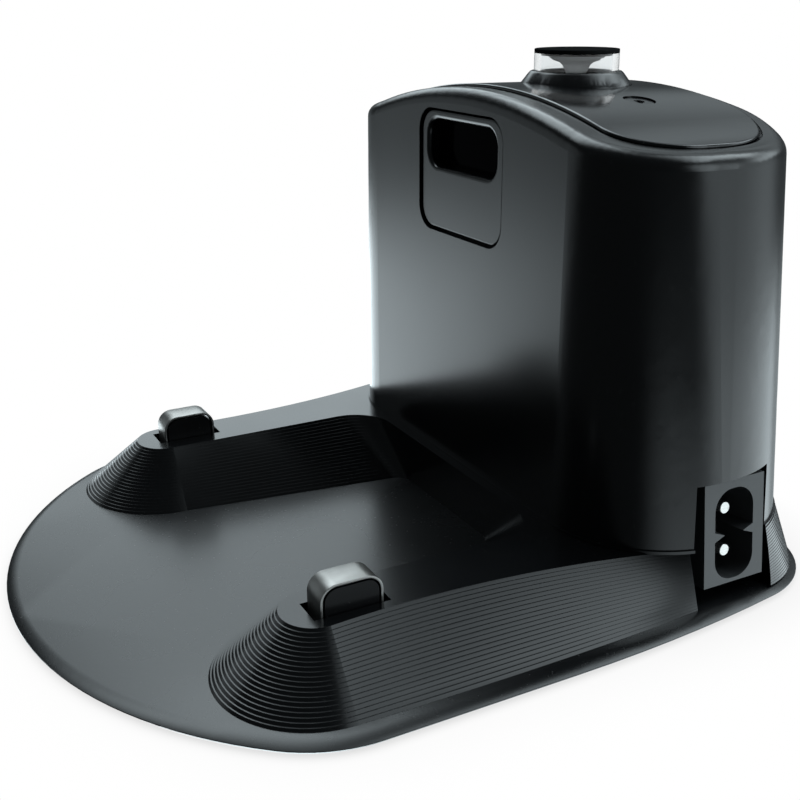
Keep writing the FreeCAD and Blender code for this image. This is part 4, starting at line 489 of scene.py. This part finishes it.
def plated(name, colour, roughness, wear):
    """Metal with drawn scratches and faint stains."""
    material, tree, shader, spot = new_material(name)
    shader.inputs["Metallic"].default_value = 1.0
    surface = wired(tree, "ShaderNodeGroup", {}, node_tree=rubbed_metal)
    surface.inputs["Colour"].default_value = (*colour, 1.0)
    surface.inputs["Roughness"].default_value = roughness
    surface.inputs["Wear"].default_value = wear
    tree.links.new(spot, surface.inputs["Vector"])
    bump = wired(
        tree, "ShaderNodeBump", {"Strength": 0.3, "Distance": 0.000006, "Height": surface.outputs["Height"]}
    )
    tree.links.new(surface.outputs["Colour"], shader.inputs["Base Color"])
    tree.links.new(surface.outputs["Roughness"], shader.inputs["Roughness"])
    tree.links.new(bump.outputs["Normal"], shader.inputs["Normal"])
    return material


def settle(angle):
    """Puts the place of the piece in hand in its mesh and smooths it up to the angle."""
    bpy.ops.object.mode_set(mode="OBJECT")
    bpy.ops.object.transform_apply(location=True, rotation=True, scale=True)
    bpy.ops.object.shade_smooth_by_angle(angle=math.radians(angle))


def repeated(piece, title, shift):
    """The same piece once more, with a mesh of its own, moved over by the shift."""
    take_up(piece)
    bpy.ops.object.duplicate(linked=False)
    twin = bpy.context.object
    twin.name = title
    bpy.ops.transform.translate(value=shift)
    bpy.ops.object.transform_apply(location=True, rotation=False, scale=False)
    return twin


contact_plating = plated("contact_plating", (0.29, 0.285, 0.275), roughness=0.38, wear=0.4)
strap_thickness = 0.0005
strap_bend = 0.0032
foot_bend = 0.0006
foot_gap = 0.0016
cut_edge = 0.0001
near = 0.00001
low, high = (Vector(corner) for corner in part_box("contact_strap_right"))
middle = (low + high) / 2
bpy.ops.object.select_all(action="DESELECT")
bpy.ops.mesh.primitive_cube_add(size=1.0, location=middle, scale=high - low)
right_strap = bpy.context.object
right_strap.name = "bent_strap_right"
bpy.ops.object.transform_apply(location=True, rotation=True, scale=True)
bpy.ops.object.mode_set(mode="EDIT")
pick(right_strap, "FACE", lambda at, face: abs(face.normal.x) > 0.5)
bpy.ops.mesh.delete(type="ONLY_FACE")
pick(right_strap, "EDGE", lambda at, edge: abs(at.z - high.z) < near and abs(at.x - middle.x) < near)
bpy.ops.mesh.bevel(offset=strap_bend, segments=10, affect="EDGES")
pick(right_strap, "EDGE", lambda at, edge: abs(at.z - low.z) < near and abs(at.x - middle.x) < near)
bpy.ops.mesh.bevel(offset=foot_bend, segments=4, affect="EDGES")
for foot_end in (middle.y - foot_gap, middle.y + foot_gap):
    pick(right_strap, "FACE", lambda at, face: abs(at.z - low.z) < near)
    bpy.ops.mesh.bisect(plane_co=(middle.x, foot_end, low.z), plane_no=(0.0, 1.0, 0.0))
pick(right_strap, "FACE", lambda at, face: abs(at.z - low.z) < near and abs(at.y - middle.y) < foot_gap)
bpy.ops.mesh.delete(type="FACE")
bpy.ops.object.mode_set(mode="OBJECT")
apply_modifier(right_strap, "SOLIDIFY", thickness=strap_thickness, offset=-1.0)
apply_modifier(
    right_strap, "BEVEL", width=cut_edge, segments=2, limit_method="ANGLE", angle_limit=math.radians(50)
)
settle(40)
left_way = Vector(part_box("contact_strap_left")[0]) - low
left_strap = repeated(right_strap, "bent_strap_left", left_way)
fit(right_strap, "contact_strap_right", contact_plating, "contact_right")
fit(left_strap, "contact_strap_left", contact_plating, "contact_left")

# Contact springs: coil springs of steel wire between the terminals and the straps' feet.
# One is wound and the other is a copy. On the dock they shorten as the contacts are pressed down; here both
# keep their full length and are attached to the dock.
spring_steel = plated("spring_steel", (0.50, 0.50, 0.51), roughness=0.28, wear=0.4)
wire_radius = 0.0003
spring_turns = 4
winding_steps = 128
low, high = (Vector(corner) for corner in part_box("contact_spring_right"))
middle = (low + high) / 2
coil_radius = (high.x - low.x) / 2 - wire_radius
coil_height = high.z - low.z - 2 * wire_radius
bpy.ops.object.select_all(action="DESELECT")
bpy.ops.mesh.primitive_circle_add(
    vertices=12,
    radius=wire_radius,
    fill_type="NGON",
    location=(middle.x, middle.y, low.z + wire_radius),
    rotation=(math.pi / 2, 0.0, 0.0),
)
right_spring = bpy.context.object
right_spring.name = "coil_spring_right"
bpy.ops.object.transform_apply(location=False, rotation=True, scale=True)
bpy.ops.object.mode_set(mode="EDIT")
bpy.ops.mesh.select_all(action="SELECT")
bpy.ops.transform.translate(value=(coil_radius, 0.0, 0.0))
bpy.ops.object.mode_set(mode="OBJECT")
apply_modifier(
    right_spring,
    "SCREW",
    axis="Z",
    angle=2 * math.pi * spring_turns,
    screw_offset=coil_height,
    steps=winding_steps,
    render_steps=winding_steps,
    use_normal_calculate=True,
)
bpy.ops.object.mode_set(mode="EDIT")
bpy.ops.mesh.select_all(action="SELECT")
bpy.ops.mesh.remove_doubles(threshold=0.000001)
bpy.ops.mesh.normals_make_consistent(inside=False)
settle(50)
left_way = Vector(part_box("contact_spring_left")[0]) - low
left_spring = repeated(right_spring, "coil_spring_left", left_way)
for tag, spring, seat in (("right", right_spring, middle), ("left", left_spring, middle + left_way)):
    fit(spring, "contact_spring_" + tag, spring_steel, "dock")
    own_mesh(spring)

# Contact terminals: flat brass leaves that carry the current from the springs, each with a solder tab.
# Stamped from sheet and laid on the plate, where the spring's foot holds them down.
terminal_brass = plated("terminal_brass", (0.70, 0.52, 0.22), roughness=0.30, wear=0.5)
dress(terminal_brass, "contact_terminal_left", "contact_terminal_right")

# Tower shell: hollow black moulding with drafted ends and a wave-shaped top.
# Finer skin than the plate, so it is glossier; four columns inside take screws from below.
tower_plastic = moulded("tower_plastic", black, roughness=0.22, grain=2300.0, depth=0.000005, dust=0.05)
dress(tower_plastic, "tower_shell")

# Emitter bezel: separate moulding let into the tower's front, set back a little.
# Same plastic as the beacon's collar; its slot is rounded on the outside, and so is its front edge.
trim_plastic = moulded("trim_plastic", black, roughness=0.24, grain=2100.0, depth=0.000005, dust=0.05)
bezel_edge = 0.0005
bezel_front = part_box("emitter_bezel")[0][1]
front_slack = 0.0001
turned_front = -0.9
turned_aside = 0.3
bezel = copied("emitter_bezel", "soft_emitter_bezel")
bpy.ops.mesh.dissolve_limited(angle_limit=math.radians(1.0))
bpy.ops.mesh.normals_make_consistent(inside=False)


def on_front_edge(at, edge):
    lean = sorted(face.normal.y for face in edge.link_faces)
    at_front = at.y < bezel_front + front_slack
    return at_front and len(lean) == 2 and lean[0] < turned_front and abs(lean[1]) < turned_aside


pick(bezel, "EDGE", on_front_edge)
bpy.ops.mesh.bevel(offset=bezel_edge, segments=4, affect="EDGES", clamp_overlap=False)
smooth(bezel, 40)
fit(bezel, "emitter_bezel", trim_plastic, "dock")

# Infrared window: near-black plate behind the bezel's slot that only lets infrared through.
# Cut from smoked sheet and glued to the back of the bezel, so it hardly shines.
dark_window = moulded(
    "dark_window", (0.0012, 0.001, 0.002), roughness=0.10, grain=400.0, depth=0.000001, dust=0.0
)
set_shine(dark_window, 0.005)
dress(dark_window, "ir_window")

# Top panel: thin glossy panel that follows the wave, let into the tower's top.
# It stands a little proud of a narrow groove and is glued down.
panel_plastic = moulded("panel_plastic", black, roughness=0.13, grain=600.0, depth=0.000001, dust=0.08)
dress(panel_plastic, "top_panel")

# Indicator: smoked disc let into the panel, with a clear light pipe in its middle.
# The pipe is pressed through the disc and stands over a small lamp on the board below.
# The other lamps are cast in the same clear plastic.
indicator_plastic = moulded(
    "indicator_plastic", (0.004, 0.004, 0.005), roughness=0.22, grain=1500.0, depth=0.000003, dust=0.1
)
dress(indicator_plastic, "indicator_disc")


def clear(name, colour, roughness):
    """Clear moulded plastic with faint flow marks in its polish."""
    material, tree, shader, spot = new_material(name)
    shader.inputs["Transmission Weight"].default_value = 1.0
    shader.inputs["IOR"].default_value = 1.49
    shader.inputs["Base Color"].default_value = (*colour, 1.0)
    skin = wired(tree, "ShaderNodeGroup", {}, node_tree=moulded_skin)
    skin.inputs["Colour"].default_value = (*colour, 1.0)
    skin.inputs["Roughness"].default_value = roughness
    skin.inputs["Grain"].default_value = 300.0
    tree.links.new(spot, skin.inputs["Vector"])
    tree.links.new(skin.outputs["Roughness"], shader.inputs["Roughness"])
    return material


clear_plastic = clear("clear_plastic", (0.92, 0.95, 0.95), roughness=0.08)
dress(clear_plastic, "light_pipe", "indicator_led", "beacon_led", "front_emitters")

# Beacon: clear lens tube in a conical collar, closed by a matt black cap with a grey cone below it.
# The cone throws the lamp's light out all round, and it narrows quickly below its brim.
soften("lens_collar", trim_plastic, "dock", width=0.0002)
cap_plastic = moulded(
    "cap_plastic", (0.011, 0.0115, 0.012), roughness=0.5, grain=2100.0, depth=0.000002, dust=0.05
)
set_shine(cap_plastic, 0.0)
soften("beacon_cap", cap_plastic, "dock", width=0.00015)
dress(clear("clear_lens", (0.88, 0.905, 0.91), roughness=0.05), "beacon_lens")
reflector_plastic = moulded(
    "reflector_plastic", (0.70, 0.72, 0.74), roughness=0.35, grain=1200.0, depth=0.000004, dust=0.1
)
cone_brim = 0.0010
cone_tip = 0.0001
waist_draw_in = (0.82, 0.82, 1.0)
tip_draw_in = (0.35, 0.35, 1.0)
low, high = (Vector(corner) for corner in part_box("beacon_reflector"))
cone_middle = ((low.x + high.x) / 2, (low.y + high.y) / 2, high.z)
cone = copied("beacon_reflector", "slim_reflector")
pick(cone, "VERT", lambda at, corner: at.z < high.z - cone_brim)
bpy.ops.transform.resize(value=waist_draw_in, center_override=cone_middle)
pick(cone, "VERT", lambda at, corner: at.z < low.z + cone_tip)
bpy.ops.transform.resize(value=tip_draw_in, center_override=cone_middle)
settle(40)
fit(cone, "beacon_reflector", reflector_plastic, "dock")


# Circuit boards: one under the beacon, one behind the window and the power board in the tower.
# Glass-fibre boards with a copper pattern below a green mask, set on ribs in the tower.
def circuit_board(name, mask, track):
    """Board with tracks below its mask and a little dust on it."""
    material, tree, shader, spot = new_material(name)
    darker = [level * share for level, share in zip(mask, (0.8, 0.85, 0.8))]
    tracks = wired(tree, "ShaderNodeTexBrick", {"Vector": spot, "Scale": 240.0, "Mortar Size": 0.045})
    tracks.inputs["Color1"].default_value = (*mask, 1.0)
    tracks.inputs["Color2"].default_value = (*darker, 1.0)
    tracks.inputs["Mortar"].default_value = (*track, 1.0)
    skin = wired(tree, "ShaderNodeGroup", {}, node_tree=moulded_skin)
    skin.inputs["Roughness"].default_value = 0.35
    skin.inputs["Grain"].default_value = 1400.0
    skin.inputs["Dust"].default_value = 0.3
    tree.links.new(spot, skin.inputs["Vector"])
    tree.links.new(tracks.outputs["Color"], skin.inputs["Colour"])
    tree.links.new(skin.outputs["Colour"], shader.inputs["Base Color"])
    tree.links.new(skin.outputs["Roughness"], shader.inputs["Roughness"])
    return material


green_board = circuit_board("circuit_board", mask=(0.012, 0.10, 0.035), track=(0.05, 0.20, 0.08))
dress(green_board, "signal_board", "emitter_board", "power_board")

# Mains inlet: black socket with a figure-eight cavity, tilted to face up a little.
# A harder plastic than the tower's, paler and duller. Its two pins are plated, with rounded ends.
inlet_plastic = moulded(
    "inlet_plastic", (0.048, 0.05, 0.052), roughness=0.30, grain=1800.0, depth=0.000006, dust=0.1
)
dress(inlet_plastic, "inlet_socket")
pin_plating = plated("pin_plating", (0.62, 0.61, 0.59), roughness=0.25, wear=0.3)
soften("inlet_pins", pin_plating, "dock", width=0.0006, segments=5)

# Power supply inside the tower: ferrite core, taped winding, two sleeved capacitors, two connectors.
# All of it is soldered to the power board; the capacitors' shoulders are rolled over.
ferrite = moulded("ferrite", (0.035, 0.034, 0.034), roughness=0.55, grain=2600.0, depth=0.00001, dust=0.2)
dress(ferrite, "transformer_core")
winding_tape = moulded(
    "winding_tape", (0.62, 0.44, 0.06), roughness=0.40, grain=700.0, depth=0.00001, dust=0.2
)
dress(winding_tape, "transformer_winding")
capacitor_sleeve = moulded(
    "capacitor_can", (0.016, 0.02, 0.05), roughness=0.32, grain=900.0, depth=0.000004, dust=0.2
)
soften("capacitors", capacitor_sleeve, "dock", width=0.0005)
connector_plastic = moulded(
    "connector_plastic", (0.66, 0.64, 0.58), roughness=0.42, grain=1500.0, depth=0.000005, dust=0.3
)
dress(connector_plastic, "board_connectors")

# Wires inside: stranded leads from the contacts, the inlet and the small boards to the power board.
# Copper in soft black sheaths, soldered at both ends.
lead_sheath = moulded(
    "lead_sheath", (0.02, 0.02, 0.022), roughness=0.45, grain=1300.0, depth=0.000008, dust=0.2
)
dress(lead_sheath, "contact_leads", "mains_leads", "signal_leads")

# Screws: six pan-head screws of zinc-plated steel with a cross recess.
# They go up through the plate from below and hold the housing and the tower to it.
# The recess is cut in one screw, and the others are copies of it.
screw_steel = plated("screw_steel", (0.42, 0.42, 0.43), roughness=0.30, wear=0.6)
screw_places = (
    (0.043, 0.034),
    (-0.043, 0.034),
    (0.042, 0.059),
    (-0.042, 0.059),
    (0.0476, 0.002),
    (-0.0476, 0.002),
)
head_clear = 0.004
recess_reach = 0.0034
recess_width = 0.0009
recess_depth = 0.0009
recess_edge = 0.0001
head_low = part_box("housing_screws")[0][2]
first_x, first_y = screw_places[0]
screws = copied("housing_screws", "recessed_screws")
pick(screws, "VERT", lambda at, corner: math.hypot(at.x - first_x, at.y - first_y) > head_clear)
bpy.ops.mesh.delete(type="VERT")
bpy.ops.mesh.select_all(action="SELECT")
bpy.ops.mesh.normals_make_consistent(inside=False)
bpy.ops.object.mode_set(mode="OBJECT")
for turn in (0.0, math.pi / 2):
    bpy.ops.object.select_all(action="DESELECT")
    bpy.ops.mesh.primitive_cube_add(
        size=1.0,
        location=(first_x, first_y, head_low),
        rotation=(0.0, 0.0, turn),
        scale=(recess_reach, recess_width, recess_depth * 2),
    )
    driver_blade = bpy.context.object
    bpy.ops.object.transform_apply(location=True, rotation=True, scale=True)
    take_up(screws)
    apply_modifier(screws, "BOOLEAN", operation="DIFFERENCE", object=driver_blade, solver="EXACT")
    bpy.data.objects.remove(driver_blade)
apply_modifier(
    screws, "BEVEL", width=recess_edge, segments=2, limit_method="ANGLE", angle_limit=math.radians(50)
)
settle(35)
more_screws = [
    repeated(screws, "recessed_screw", (screw_x - first_x, screw_y - first_y, 0.0))
    for screw_x, screw_y in screw_places[1:]
]
take_up(screws)
for screw in more_screws:
    screw.select_set(True)
bpy.ops.object.join()
fit(screws, "housing_screws", screw_steel, "dock")
